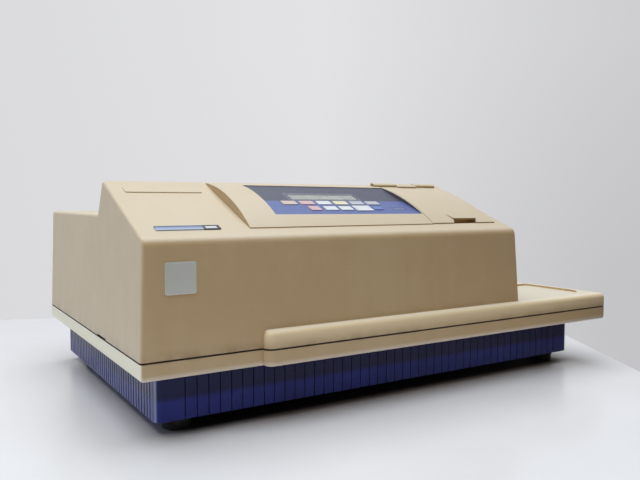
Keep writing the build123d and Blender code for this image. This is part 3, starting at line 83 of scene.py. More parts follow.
# %% Shader arithmetic
class Value:
    """One output of a node. Arithmetic on it adds Math nodes to the same sheet."""

    def __init__(self, sheet, link):
        self.sheet = sheet
        self.link = link

    def math(self, operation, *values):
        return self.sheet.node("ShaderNodeMath", {"operation": operation}, dict(enumerate(values)))

    def __add__(self, other):
        return self.math("ADD", self, other)

    def __radd__(self, other):
        return self.math("ADD", other, self)

    def __sub__(self, other):
        return self.math("SUBTRACT", self, other)

    def __rsub__(self, other):
        return self.math("SUBTRACT", other, self)

    def __mul__(self, other):
        return self.math("MULTIPLY", self, other)

    def __rmul__(self, other):
        return self.math("MULTIPLY", other, self)

    def rise(self, low, high):
        """0 below low, 1 above high, and a smooth step between them. It falls where low is above high."""
        if low > high:
            return 1 - self.rise(high, low)
        limits = {0: self, 1: low, 2: high, 3: 0.0, 4: 1.0}
        return self.sheet.node("ShaderNodeMapRange", {"interpolation_type": "SMOOTHSTEP"}, limits)

    def band(self, low, high, soft):
        """1 between low and high, with edges as wide as soft."""
        return self.rise(low - soft, low + soft) * self.rise(high + soft, high - soft)


print("values can:", [name for name in vars(Value) if not name.startswith("_")])

# %% Sheets
class Sheet:
    """The node tree of one finish."""

    def __init__(self, name):
        self.material = bpy.data.materials.new(name)
        self.material.use_nodes = True
        self.tree = self.material.node_tree
        self.shader = self.tree.nodes["Principled BSDF"]
        self.here = self.node("ShaderNodeTexCoord", output="Object")

    def node(self, kind, settings=None, values=None, output=0):
        """Any node: its settings first, then the numbers or links of its inputs."""
        node = self.tree.nodes.new(kind)
        for name, value in (settings or {}).items():
            setattr(node, name, value)
        for name, value in (values or {}).items():
            self.put(node.inputs[name], value)
        return Value(self, node.outputs[output])

    def put(self, socket, value):
        if isinstance(value, Value):
            self.tree.links.new(value.link, socket)
        else:
            socket.default_value = value

    def use(self, **inputs):
        """Feed the shader itself. An underscore in a name stands for a space."""
        for name, value in inputs.items():
            self.put(self.shader.inputs[name.replace("_", " ")], value)
        return self.material

    def axes(self, where=None):
        """The X, Y and Z of a place, as three values."""
        split = self.node("ShaderNodeSeparateXYZ", None, {0: where or self.here})
        outputs = split.link.node.outputs
        return tuple(Value(self, outputs[i]) for i in range(3))

    def noise(self, scale, detail=2.0, where=None, stretch=None):
        """A cloudy pattern, about 1 / scale metres across, from 0 to 1."""
        where = where or self.here
        if stretch:
            where = self.node("ShaderNodeMapping", None, {"Vector": where, "Scale": stretch})
        return self.node("ShaderNodeTexNoise", None, {"Vector": where, "Scale": scale, "Detail": detail})

    def mix(self, factor, first, second, blend="MIX"):
        settings = {"data_type": "RGBA", "blend_type": blend}
        return self.node("ShaderNodeMix", settings, {0: factor, 6: first, 7: second}, output=2)

    def facing(self):
        """How far the surface looks along X, Y and Z, from -1 to 1."""
        return self.axes(self.node("ShaderNodeNewGeometry", output="Normal"))

    def worn(self, radius):
        """1 along sharp outer and inner edges, 0 on flat ground."""
        soft = self.node("ShaderNodeBevel", {"samples": 4}, {"Radius": radius})
        hard = self.node("ShaderNodeNewGeometry", output="Normal")
        settings = {"operation": "DOT_PRODUCT"}
        same = self.node("ShaderNodeVectorMath", settings, {0: soft, 1: hard}, output="Value")
        return same.rise(0.985, 0.88)

    def bump(self, height, depth, strength=1.0):
        """Tilt the surface by a height from 0 to 1 that stands for depth metres."""
        return self.node("ShaderNodeBump", None, {"Strength": strength, "Distance": depth, "Height": height})


print("sheets can:", [name for name in vars(Sheet) if not name.startswith("_")])

# %% Tints
def tint(red, green, blue):
    """A colour as it is seen on a screen, 0 to 255, turned into the light that it reflects."""
    def linear(level):
        share = level / 255
        return share / 12.92 if share <= 0.04045 else ((share + 0.055) / 1.055) ** 2.4
    return (linear(red), linear(green), linear(blue), 1.0)


FINISHES = {}
print("a pale cream reflects", [round(c, 3) for c in tint(208, 193, 163)[:3]])

# %% [markdown]
# Two planes are used again and again: the slope of the cover, and the flat bed of the keypad in the bulge.
# A Mapping node turns the place of each point into such a plane, so that X runs along it and Y up it.

# %% Where the slope and the keypad lie
SLOPE_TILT = math.radians(22.2)
SLOPE_START = Vector((0.0, -0.179434, 0.1698))
SLOPE = Matrix.Translation(SLOPE_START) @ Matrix.Rotation(SLOPE_TILT, 4, "X")
KEYPAD_MIDDLE = (-0.0603, 0.07675)
KEYPAD_SIZE = (0.1794, 0.0785)
BULGE_FRONT, BULGE_REAR = 0.019, 0.129
PLINTH = 0.001


def crown(x):
    """Height of the bulge's crown above the slope: it falls from left to right."""
    return 0.009 - 0.002 * (x + 0.184) / 0.215


def bulge(x, s):
    """Height of the bulge above the slope at a place on it."""
    middle = (BULGE_FRONT + BULGE_REAR) / 2
    reach = (BULGE_REAR - BULGE_FRONT) / 2
    return PLINTH + (crown(x) - PLINTH) * (1 - ((s - middle) / reach) ** 2)


def keypad_plane():
    """The flat bed of the keypad: the mean of the bulge over its corners, half a millimetre lower."""
    x, s = KEYPAD_MIDDLE
    half_x, half_s = KEYPAD_SIZE[0] / 2, KEYPAD_SIZE[1] / 2
    front, rear = bulge(x, s - half_s), bulge(x, s + half_s)
    left = bulge(x - half_x, s - half_s) + bulge(x - half_x, s + half_s)
    right = bulge(x + half_x, s - half_s) + bulge(x + half_x, s + half_s)
    across = (right - left) / 2 / KEYPAD_SIZE[0]
    along = (rear - front) / KEYPAD_SIZE[1]
    normal = Vector((-across, -along, 1)).normalized()
    sideways = Vector((1, 0, across)).normalized()
    upwards = normal.cross(sideways)
    turn = Matrix((sideways, upwards, normal)).transposed().to_4x4()
    return SLOPE @ Matrix.Translation((x, s, (front + rear) / 2 - 0.0005)) @ turn


KEYPAD = keypad_plane()
print("keypad middle", [round(c, 4) for c in KEYPAD.translation], "normal", KEYPAD.to_3x3() @ Vector((0, 0, 1)))


def in_plane(sheet, plane):
    """The place of each point measured in a plane, as one vector."""
    back = plane.inverted()
    values = {"Vector": sheet.here, "Location": back.translation, "Rotation": back.to_euler("XYZ")}
    return sheet.node("ShaderNodeMapping", {"vector_type": "POINT"}, values)


def on_plane(sheet, plane):
    """The same as three values: X and Y in the plane, and the height above it."""
    return sheet.axes(in_plane(sheet, plane))

# %% [markdown]
# Moulded ABS is never one flat colour. Light and age have yellowed it in broad patches, dust darkens it in
# faint streaks down the walls, and the mould was spark-eroded, so the skin has grains well under a
# millimetre across. Edges are rubbed a little paler. The patches go into the colour, the rubbing into
# the roughness, and the grains into a Bump node. Then a list of masks and colours, laid over each other in
# order, paints light and shade on each side: painted highlights where a surface faces up or towards the
# window, and painted shade on the bulge's flank, in the keypad bed's wall and at the top of the base. Real
# dirt lies along the seam, and the seam itself is a dark line.

# %% Moulded plastics
SEAM = 0.0726
LEDGE_TOP = 0.0885
PAN_BOTTOM = 0.0585
BASE_SHADOW_HEIGHT = 0.034
DUST_BROWN = tint(70, 55, 38)


def layered(sheet, skin, layers):
    """Lay colours over each other, each as strong as its mask."""
    for mask, colour in layers:
        skin = sheet.mix(mask, skin, colour)
    return skin


def housing_layers(sheet, cloud):
    """The cream housing: painted highlights above and towards the window, painted shade on the bulge's flank
    and the bed's wall, dirt and a dark line at the seam.
    """
    x, y, height = sheet.axes()
    sideways, _, upwards = sheet.facing()
    along, _, _ = on_plane(sheet, KEYPAD)
    low = height.rise(0.105, 0.095)
    seam_dirt = height.rise(SEAM + 0.010, SEAM) * height.rise(SEAM - 0.004, SEAM) * cloud.rise(0.3, 0.7)
    left_wall_highlight = sideways.rise(-0.4, -0.95) * x.rise(-0.26, -0.27)
    ledge = y.rise(-0.1822, -0.1850) * height.rise(SEAM - 0.004, LEDGE_TOP) * low
    flank_shade = sideways.rise(-0.35, -0.75) * x.rise(-0.21, -0.20) * height.rise(0.168, 0.170)
    pan_round_highlight = height.rise(PAN_BOTTOM + 0.004, PAN_BOTTOM) * y.rise(-0.176, -0.179)
    bed_wall_shade = along.band(0.0885, 0.0935, 0.0003) * height.rise(0.180, 0.182) * sideways.rise(-0.25, -0.5)
    pan_left_highlight = sideways.rise(-0.5, -0.9) * height.rise(SEAM, SEAM - 0.001) * x.rise(-0.27, -0.28)
    seam_line = height.band(SEAM - 0.0013, SEAM + 0.0003, 0.0001)
    return [
        (seam_dirt * 0.35, tint(96, 80, 58)),
        # Painted highlight: whatever faces up is painted paler.
        (upwards.rise(0.35, 0.9) * 0.6, tint(222, 212, 190)),
        # Painted light: the left wall, on the window side, is painted paler.
        (left_wall_highlight * 0.4, tint(222, 216, 200)),
        # Painted highlight: the top of the ledge is painted pale and warm.
        (ledge * 0.92, tint(254, 230, 188)),
        # Painted highlight: up-facing surfaces low down, such as the deck, are painted paler still.
        (upwards.rise(0.6, 0.95) * low * 0.6, tint(246, 238, 220)),
        # Painted shade: the bulge's left flank is painted darker.
        (flank_shade * 0.35, tint(150, 122, 84)),
        # Painted highlight: the lower front round of the pan is painted paler.
        (pan_round_highlight * 0.4, tint(252, 244, 236)),
        # Painted shade: the keypad bed's right wall is painted dark navy.
        (bed_wall_shade * 0.85, tint(44, 48, 78)),
        # Painted light: the pan's left side, towards the window, is painted paler.
        (pan_left_highlight * 0.9, tint(254, 248, 228)),
        (seam_line * 0.95, tint(50, 26, 8)),
    ]


def base_layers(sheet, _):
    """The blue base: painted shadow where the pan overhangs it, painted light on the window side and a painted
    highlight on that side's corner.
    """
    sideways, _, _ = sheet.facing()
    return [
        # Painted shadow: the top of the base, under the pan's overhang, is painted near black.
        (sheet.axes()[2].rise(BASE_SHADOW_HEIGHT - 0.007, BASE_SHADOW_HEIGHT) * 0.8, tint(8, 12, 44)),
        # Painted light: the side facing the window is painted paler.
        (sideways.rise(-0.5, -0.95) * 0.35, tint(134, 142, 184)),
        # Painted highlight: the rounded corner on the window side is painted bright.
        (sideways.band(-0.93, -0.72, 0.04) * 0.6, tint(172, 184, 216)),
    ]


print("seam at", SEAM, "m, top of the ledge at", LEDGE_TOP, "m")

# %% The moulding itself
def moulding(name, fresh, aged, rubbed, rough=0.46, grain=1500.0, layers=None, shine=0.5):
    """A spark-eroded plastic in three tones: as moulded, where aged, and where rubbed."""
    sheet = Sheet(name)
    broad = sheet.noise(6.0, 3.0)
    cloud = sheet.noise(55.0, 4.0)
    streak = sheet.noise(1.0, 3.0, stretch=(70.0, 70.0, 6.0))
    age = (broad * 0.6 + cloud * 0.2 + streak * 0.2).rise(0.38, 0.62)
    wear = sheet.worn(0.0014)
    rubs = sheet.noise(160.0, 3.0).rise(0.42, 0.62)
    specks = sheet.noise(420.0, 1.0).rise(0.74, 0.80)
    skin = layered(sheet, fresh, [(age, aged), (wear * rubs * 0.45, rubbed), (specks * 0.18, DUST_BROWN)])
    if layers:
        skin = layered(sheet, skin, layers(sheet, cloud))
    fine = sheet.noise(grain, 2.0)
    gloss = rough + (cloud - 0.5) * 0.14 - wear * 0.08
    normal = sheet.bump(fine + cloud * 0.6, 0.00006, 0.35)
    return sheet.use(Base_Color=skin, Roughness=gloss, Normal=normal, IOR=1.5, Specular_IOR_Level=shine)


CREAM = (tint(205, 178, 138), tint(200, 170, 128), tint(220, 206, 178))
BLUE = (tint(34, 46, 142), tint(28, 38, 124), tint(74, 84, 160))
FINISHES["housing_plastic"] = moulding("housing_plastic", *CREAM, rough=0.43, layers=housing_layers)
FINISHES["base_plastic"] = moulding(
    "base_plastic", *BLUE, rough=0.36, grain=1100.0, layers=base_layers, shine=0.3
)
FINISHES["black_plastic"] = moulding(
    "black_plastic", tint(30, 30, 33), tint(37, 36, 36), tint(74, 73, 72), rough=0.48
)
print("mouldings:", sorted(FINISHES))

# %% [markdown]
# Rubber and foam are rougher and catch dust; the dust lies on what faces up. The belt has a woven back, which
# is not drawn: it is plain rubber here.

# %% Rubber and foam
def rubber(name, colour, dusty, scale):
    sheet = Sheet(name)
    _, _, up = sheet.facing()
    cloud = sheet.noise(120.0, 4.0)
    dust = up.rise(0.2, 0.9) * 0.4 + cloud.rise(0.45, 0.75) * 0.35
    skin = sheet.mix(dust, colour, dusty)
    pores = sheet.noise(scale, 3.0)
    return sheet.use(
        Base_Color=skin, Roughness=0.78 + (cloud - 0.5) * 0.2, Normal=sheet.bump(pores, 0.0002, 0.5)
    )


FINISHES["rubber"] = rubber("rubber", tint(26, 26, 28), tint(74, 72, 70), 900.0)
FINISHES["foam"] = rubber("foam", tint(34, 34, 36), tint(60, 60, 60), 1800.0)
FINISHES["belt_rubber"] = rubber("belt_rubber", tint(28, 28, 30), tint(56, 55, 54), 1400.0)
FINISHES["fibre_jacket"] = rubber("fibre_jacket", tint(32, 32, 35), tint(66, 66, 68), 700.0)
print("rubber and foam done:", len(FINISHES), "finishes so far")

# %% [markdown]
# Metals differ by how they were worked. Sheet and rod keep the fine lines of rolling or grinding, which are
# a noise stretched thin along one direction. Anodised and enamelled parts hide the metal under a dark skin
# that is rubbed bright only on its edges.

# %% Metals
def metal(name, colour, tarnish, rough, lines=(1800.0, 40.0, 1800.0), shine=1.0):
    sheet = Sheet(name)
    drawn = sheet.noise(1.0, 2.0, stretch=lines)
    stain = sheet.noise(38.0, 4.0).rise(0.35, 0.75)
    skin = sheet.mix(stain * 0.55, colour, tarnish)
    skin = sheet.mix(drawn * 0.25, skin, tarnish)
    gloss = rough + (drawn - 0.5) * 0.16 + stain * 0.12
    normal = sheet.bump(drawn, 0.00003, 0.4)
    return sheet.use(Base_Color=skin, Metallic=shine, Roughness=gloss, Normal=normal)


def coated(name, colour, under, rough, grain):
    """A dark skin on metal, worn through to the bare metal along its edges."""
    sheet = Sheet(name)
    chips = sheet.worn(0.0009) * sheet.noise(260.0, 3.0).rise(0.48, 0.60)
    cloud = sheet.noise(70.0, 3.0)
    skin = sheet.mix(cloud.rise(0.3, 0.7) * 0.3, colour, tint(60, 60, 62))
    skin = sheet.mix(chips, skin, under)
    normal = sheet.bump(sheet.noise(grain, 2.0), 0.00005, 0.4)
    return sheet.use(
        Base_Color=skin, Metallic=chips * 0.9, Roughness=rough + (cloud - 0.5) * 0.15, Normal=normal
    )


FINISHES["steel"] = metal("steel", tint(178, 178, 176), tint(136, 132, 126), 0.28)
FINISHES["aluminium"] = metal("aluminium", tint(196, 197, 199), tint(160, 160, 162), 0.38)
FINISHES["zinc_plate"] = metal("zinc_plate", tint(176, 178, 176), tint(138, 140, 136), 0.42, (60.0, 60.0, 60.0))
FINISHES["silver_film"] = metal(
    "silver_film", tint(222, 222, 214), tint(196, 196, 190), 0.30, (30.0, 900.0, 1500.0), shine=0.2
)
FINISHES["black_anodised"] = coated("black_anodised", tint(30, 30, 33), tint(170, 170, 172), 0.45, 1800.0)
FINISHES["motor_black"] = coated("motor_black", tint(24, 24, 26), tint(150, 150, 150), 0.35, 900.0)
print("metals done:", len(FINISHES), "finishes so far")

# %% [markdown]
# The keypad is a printed polyester sheet. Its print is drawn in the sheet's own plane. The upper field is dark
# and the lower one blue, with a thin pale frame round the display and a small bar beside the keys.

# %% Printed films
def printed_keypad():
    sheet = Sheet("overlay_print")
    x, y, _ = on_plane(sheet, KEYPAD)
    fibre = sheet.noise(900.0, 2.0)
    cloud = sheet.noise(30.0, 3.0)
    lower = sheet.mix(cloud.rise(0.3, 0.7) * 0.5, tint(84, 100, 158), tint(96, 112, 166))
    upper = sheet.mix(cloud.rise(0.3, 0.7) * 0.5, tint(66, 68, 88), tint(76, 78, 98))
    split = y.rise(-0.0030, -0.0022)
    skin = sheet.mix(split, lower, upper)
    frame_line = x.band(-0.0535, 0.0345, 0.0002) * y.band(-0.0012, 0.0186, 0.0002)
    frame_hole = x.band(-0.0525, 0.0335, 0.0002) * y.band(-0.0002, 0.0176, 0.0002)
    skin = sheet.mix((frame_line - frame_hole) * 0.5, skin, tint(170, 176, 198))
    bar = x.band(0.0605, 0.0785, 0.0002) * y.band(-0.0275, -0.0200, 0.0002)
    bar_field = x.band(0.0620, 0.0770, 0.0002) * y.band(-0.0262, -0.0213, 0.0002)
    skin = sheet.mix(bar * 0.8, skin, tint(38, 44, 84))
    skin = sheet.mix(bar_field * 0.7, skin, tint(128, 142, 190))
    wear = sheet.noise(260.0, 3.0).rise(0.55, 0.75)
    return sheet.use(
        Base_Color=sheet.mix(wear * 0.08, skin, tint(190, 190, 200)), Roughness=0.42 + (cloud - 0.5) * 0.12,
        Normal=sheet.bump(fibre, 0.00003, 0.35), IOR=1.5,
    )


def printed_badge():
    """A blue strip with a dark end that holds a small pale field, all bare."""
    sheet = Sheet("badge_blue")
    x, _, _ = sheet.axes()
    _, s, _ = on_plane(sheet, SLOPE)
    fade = s.rise(0.018, 0.026)
    blue = sheet.mix(fade, tint(176, 190, 218), tint(92, 106, 146))
    dark = x.rise(-0.2282, -0.2276)
    skin = sheet.mix(dark, blue, tint(38, 42, 58))
    field = x.band(-0.2255, -0.2150, 0.0002) * s.band(0.0198, 0.0240, 0.0002)
    skin = sheet.mix(field, skin, tint(214, 216, 214))
    scuff = sheet.noise(300.0, 3.0).rise(0.55, 0.72)
    return sheet.use(
        Base_Color=sheet.mix(scuff * 0.15, skin, tint(180, 186, 196)),
        Roughness=0.28 + scuff * 0.25, Normal=sheet.bump(sheet.noise(700.0, 2.0), 0.00002, 0.3),
    )


FINISHES["overlay_print"] = printed_keypad()
FINISHES["badge_blue"] = printed_badge()
print("films done:", len(FINISHES), "finishes so far")

# %% [markdown]
# Each key has its own ink. Fingers polish the middle of a key and leave its rim matt and a little soiled, so
# the roughness and the colour both follow a fine cloud.

# %% Key inks
def key_ink(name, colour, soiled):
    sheet = Sheet(name)
    cloud = sheet.noise(130.0, 3.0)
    grime = sheet.worn(0.0012) * 0.5 + cloud.rise(0.5, 0.8) * 0.25
    skin = sheet.mix(grime, colour, soiled)
    normal = sheet.bump(sheet.noise(1600.0, 2.0), 0.00003, 0.4)
    return sheet.use(Base_Color=skin, Roughness=0.36 + cloud * 0.22, Normal=normal)


INKS = {
    "key_salmon": (tint(212, 194, 182), tint(170, 150, 136)),
    "key_pink": (tint(216, 182, 182), tint(170, 138, 140)),
    "key_white": (tint(226, 228, 230), tint(164, 168, 180)),
    "key_cream": (tint(232, 226, 192), tint(176, 168, 138)),
    "key_grey": (tint(192, 194, 198), tint(140, 142, 150)),
    "key_blue": (tint(108, 132, 190), tint(92, 112, 166)),
}
for slot, (colour, soiled) in INKS.items():
    FINISHES[slot] = key_ink(slot, colour, soiled)
print("key inks:", len(INKS))

# %% [markdown]
# The display is a grey glass behind a clear window. Its two rows of character cells can just be seen, as on
# any character display that is switched off: a Brick Texture with no offset draws them.

# %% Display, window, optics and boards
def display_glass():
    sheet = Sheet("display_face")
    white, black = (1, 1, 1, 1), (0, 0, 0, 1)
    values = {"Vector": in_plane(sheet, KEYPAD), "Color1": white, "Color2": white, "Mortar": black}
    values.update({"Scale": 1.0, "Mortar Size": 0.0003, "Brick Width": 0.0038, "Row Height": 0.0058})
    cells = sheet.node("ShaderNodeTexBrick", {"offset": 0.0}, values, output="Fac")
    glow = sheet.noise(40.0, 2.0).rise(0.3, 0.7)
    glass = sheet.mix(glow, tint(204, 206, 202), tint(214, 216, 212))
    glass = sheet.mix(cells * 0.10, glass, tint(120, 126, 124))
    return sheet.use(Base_Color=glass, Roughness=0.2 + glow * 0.08)


def clear(name, colour, rough):
    sheet = Sheet(name)
    film = sheet.noise(90.0, 3.0)
    return sheet.use(
        Base_Color=sheet.mix(film * 0.1, colour, tint(230, 232, 232)), Roughness=rough + film * 0.06,
        Transmission_Weight=0.92, IOR=1.49,
    )


def circuit_board():
    """Green solder mask with tracks and tinned pads."""
    sheet = Sheet("circuit_board")
    tracks = sheet.node(
        "ShaderNodeTexBrick", {"offset": 0.5, "offset_frequency": 2},
        {"Vector": sheet.here, "Color1": (1, 1, 1, 1), "Color2": (1, 1, 1, 1), "Mortar": (0, 0, 0, 1),
         "Scale": 1.0, "Mortar Size": 0.00025, "Brick Width": 0.013, "Row Height": 0.0021},
        output="Fac",
    )
    pads = sheet.node("ShaderNodeTexVoronoi", {"feature": "F1"}, {"Vector": sheet.here, "Scale": 320.0})
    dots = pads.rise(0.18, 0.14) * sheet.noise(60.0, 1.0).rise(0.5, 0.56)
    mask = sheet.mix(tracks * 0.5, tint(28, 86, 52), tint(46, 122, 74))
    skin = sheet.mix(dots, mask, tint(196, 196, 186))
    return sheet.use(
        Base_Color=skin, Metallic=dots * 0.8, Roughness=0.34 - dots * 0.1,
        Normal=sheet.bump(tracks + dots, 0.0001, 0.5),
    )


FINISHES["display_face"] = display_glass()
FINISHES["clear_window"] = clear("clear_window", tint(236, 238, 236), 0.04)
FINISHES["optic_glass"] = clear("optic_glass", tint(226, 234, 236), 0.02)
FINISHES["circuit_board"] = circuit_board()
print("glass and boards done:", len(FINISHES), "finishes so far")

# %% Give every solid its finish
slots = {part["node"]: part["material_slot"] for part in frame["record"]["subparts"]}
for node, piece in frame["nodes"].items():
    piece.data.materials.clear()
    piece.data.materials.append(FINISHES[slots[node]])
print("finished", len(slots), "solids with", len(FINISHES), "finishes")

# %% [markdown]
# The instrument stands on a pale table in a plain room. The table is a real slab, turned against the
# instrument as in a real room, and it is part of the stage. The wall is no object at all: it is the colour
# of the world for rays that come from the camera, or that a glossy or a clear surface sends on. The near side
# of the room, where the camera stands, is only seen in mirrors, and it is darker. Rays that only light the
# object get a dim, warm world, as from light that has bounced round the room.

# %% Table
TABLE_CORNER = Vector((0.566, 0.241, 0.0))
TABLE_REAR = Vector((-0.95, 0.32, 0.0)).normalized()
TABLE_SIDE = Vector((-0.5, -0.867, 0.0)).normalized()
TABLE_REACH = 3.2
TABLE_THICKNESS = 0.03
WALL_HIGH = ((0.0, 218), (0.12, 220), (0.5, 227), (0.88, 208), (1.0, 202))
WALL_LOW = ((0.0, 217), (0.12, 219), (0.5, 223), (0.88, 197), (1.0, 192))
ROOM_BEHIND = tint(92, 82, 72)
FOOTPRINT_X = (-0.252, 0.258)
FOOTPRINT_Y = (-0.154, 0.180)


def table_finish():
    sheet = Sheet("table_top")
    cloud = sheet.noise(4.0, 3.0)
    pale = sheet.mix(cloud.rise(0.3, 0.7), tint(240, 239, 241), tint(244, 243, 245))
    x, y, _ = sheet.axes()
    # Painted shadow: the table under the instrument is painted near black and made rougher, so it shines less.
    under = x.band(*FOOTPRINT_X, 0.018) * y.band(*FOOTPRINT_Y, 0.012)
    pale = sheet.mix(under * 0.97, pale, tint(30, 30, 34))
    return sheet.use(
        Base_Color=pale, Roughness=0.24 + (sheet.noise(20.0, 2.0) - 0.5) * 0.1 + under * 0.6,
        Normal=sheet.bump(sheet.noise(300.0, 2.0), 0.00005, 0.15),
    )


bpy.ops.object.select_all(action="DESELECT")
bpy.ops.mesh.primitive_plane_add(size=1.0)
table = bpy.context.object
table.name = "table"
corners = [Vector((0, 0, 0)), TABLE_REAR, TABLE_SIDE + TABLE_REAR, TABLE_SIDE]
order = [table.data.polygons[0].vertices[i] for i in range(4)]
for index, corner in zip(order, corners):
    table.data.vertices[index].co = TABLE_CORNER + corner * TABLE_REACH
bpy.ops.object.mode_set(mode="EDIT")
bpy.ops.mesh.select_all(action="SELECT")
bpy.ops.mesh.normals_make_consistent(inside=False)
bpy.ops.mesh.extrude_region_move(TRANSFORM_OT_translate={"value": (0, 0, -TABLE_THICKNESS)})
bpy.ops.mesh.select_all(action="SELECT")
bpy.ops.mesh.normals_make_consistent(inside=False)
bpy.ops.object.mode_set(mode="OBJECT")
table.data.materials.append(table_finish())


print("table footprint", FOOTPRINT_X, FOOTPRINT_Y)

# %% Room
def room(fill, fill_level):
    """World colour: a shaded wall for what the camera and mirrors see, and a plain light for the rest."""
    world = bpy.data.worlds.new("room")
    world.use_nodes = True
    bpy.context.scene.world = world
    tree = world.node_tree

    def add(kind, output=0, settings=None, **values):
        node = tree.nodes.new(kind)
        for name, value in (settings or {}).items():
            setattr(node, name, value)
        for name, value in values.items():
            socket = node.inputs[int(name[1:])]
            if isinstance(value, bpy.types.NodeSocket):
                tree.links.new(value, socket)
            else:
                socket.default_value = value
        return node.outputs[output]

    direction = add("ShaderNodeTexCoord")
    sideways = add(
        "ShaderNodeVectorMath", 1, {"operation": "DOT_PRODUCT"}, _0=direction,
        _1=(math.cos(CAMERA_TURN), math.sin(CAMERA_TURN), 0.0),
    )
    height = add("ShaderNodeVectorMath", 1, {"operation": "DOT_PRODUCT"}, _0=direction, _1=(0.0, 0.0, 1.0))
    across = add("ShaderNodeMapRange", _0=sideways, _1=-0.5, _2=0.5)
    rise = add("ShaderNodeMapRange", _0=height, _1=-0.10, _2=0.22)
    walls = []
    for stops in (WALL_LOW, WALL_HIGH):
        shade = add("ShaderNodeValToRGB", _0=across)
        ramp = shade.node.color_ramp
        while len(ramp.elements) < len(stops):
            ramp.elements.new(1.0)
        for element, (place, level) in zip(ramp.elements, stops):
            element.position = place
            element.color = tint(level, level, level + 2)
        walls.append(shade)
    wall = add("ShaderNodeMix", 2, {"data_type": "RGBA"}, _0=rise, _6=walls[0], _7=walls[1])
    ahead = add(
        "ShaderNodeVectorMath", 1, {"operation": "DOT_PRODUCT"}, _0=direction,
        _1=(-math.sin(CAMERA_TURN), math.cos(CAMERA_TURN), 0.0),
    )
    path = tree.nodes.new("ShaderNodeLightPath").outputs
    behind = add("ShaderNodeMapRange", _0=ahead, _1=0.3, _2=-0.2)
    mirrored = add("ShaderNodeMath", 0, {"operation": "SUBTRACT"}, _0=behind, _1=path["Is Camera Ray"])
    mirrored = add("ShaderNodeMath", 0, {"operation": "MAXIMUM"}, _0=mirrored, _1=0.0)
    wall = add("ShaderNodeMix", 2, {"data_type": "RGBA"}, _0=mirrored, _6=wall, _7=ROOM_BEHIND)
    total = path["Is Camera Ray"]
    for kind in ("Is Glossy Ray", "Is Transmission Ray"):
        total = add("ShaderNodeMath", 0, {"operation": "MAXIMUM"}, _0=total, _1=path[kind])
    seen = add("ShaderNodeBackground", _0=wall)
    given = add("ShaderNodeBackground", _0=fill, _1=fill_level)
    blend = add("ShaderNodeMixShader", _0=total, _1=given, _2=seen)
    tree.links.new(blend, tree.nodes["World Output"].inputs["Surface"])


print("the wall has", len(WALL_HIGH), "shades high up and", len(WALL_LOW), "low down")

# %% Lamps
def lamp(name, place, aim, size, power, colour):
    """A soft square lamp that looks at a point."""
    light = bpy.data.lights.new(name, "AREA")
    light.shape = "SQUARE"
    light.size = size
    light.energy = power
    light.color = colour
    thing = bpy.data.objects.new(name, light)
    direction = Vector(aim) - Vector(place)
    thing.matrix_world = Matrix.Translation(place) @ direction.to_track_quat("-Z", "Y").to_matrix().to_4x4()
    bpy.context.scene.collection.objects.link(thing)


room((1.0, 0.80, 0.58, 1.0), 0.05)
lamp("ceiling_lamp", (-0.35, -0.20, 1.8), (-0.35, -0.20, 0.1), 2.2, 46.0, (0.90, 0.955, 1.0))
lamp("window_lamp", (-2.3, 0.1, 0.9), (-0.1, 0.0, 0.1), 1.2, 7.0, (0.80, 0.92, 1.0))

# %% [markdown]
# The modelling helpers do by code what a hand does in the viewport: add a primitive, pick faces or edges by
# where they are, and put the finished piece in its place.

# %% Modelling helpers
def alone():
    """Deselect everything, because an operator works on all that is selected."""
    if bpy.context.object and bpy.context.object.mode != "OBJECT":
        bpy.ops.object.mode_set(mode="OBJECT")
    bpy.ops.object.select_all(action="DESELECT")


def start(name, shape, **how):
    """Add one primitive and name it."""
    alone()
    getattr(bpy.ops.mesh, "primitive_%s_add" % shape)(**how)
    piece = bpy.context.object
    piece.name = name
    bpy.ops.object.transform_apply(location=True, rotation=True, scale=True)
    return piece


def edit():
    bpy.ops.object.mode_set(mode="EDIT")


def leave():
    bpy.ops.object.mode_set(mode="OBJECT")


def pick(kind, test):
    """In edit mode, select the faces or edges whose middle and direction pass the test."""
    bpy.ops.mesh.select_mode(type=kind)
    bpy.ops.mesh.select_all(action="DESELECT")
    mesh = bmesh.from_edit_mesh(bpy.context.object.data)
    count = 0
    for item in mesh.faces if kind == "FACE" else mesh.edges:
        if kind == "FACE":
            middle, direction = item.calc_center_median(), item.normal
        else:
            first, second = (v.co for v in item.verts)
            middle, direction = (first + second) / 2, (second - first).normalized()
        chosen = bool(test(middle, direction))
        item.select_set(chosen)
        count += chosen
    mesh.select_flush_mode()
    bmesh.update_edit_mesh(bpy.context.object.data)
    return count


def seat(piece, plane, body, slot, *nodes, angle=35.0):
    """Put a piece made round the origin into its plane, close and smooth it, and let it ride."""
    alone()
    piece.select_set(True)
    bpy.context.view_layer.objects.active = piece
    piece.matrix_world = plane
    bpy.ops.object.transform_apply(location=True, rotation=True, scale=True)
    edit()
    bpy.ops.mesh.select_all(action="SELECT")
    bpy.ops.mesh.remove_doubles(threshold=1e-6)
    bpy.ops.mesh.normals_make_consistent(inside=False)
    leave()
    bpy.ops.object.shade_smooth_by_angle(angle=math.radians(angle))
    piece.data.materials.clear()
    piece.data.materials.append(FINISHES[slot])
    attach(piece, body)
    if nodes:
        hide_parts(*nodes)
    return piece


# %% [markdown]
# A key cap is a shallow pillow: a flat block with round corners, whose top face is inset and lifted, then inset
# again and lowered. Both insets together stay smaller than the corner, or the corners would fold over. Each
# cap is as large as its key, and rides on it, so it goes down when the key is pressed.

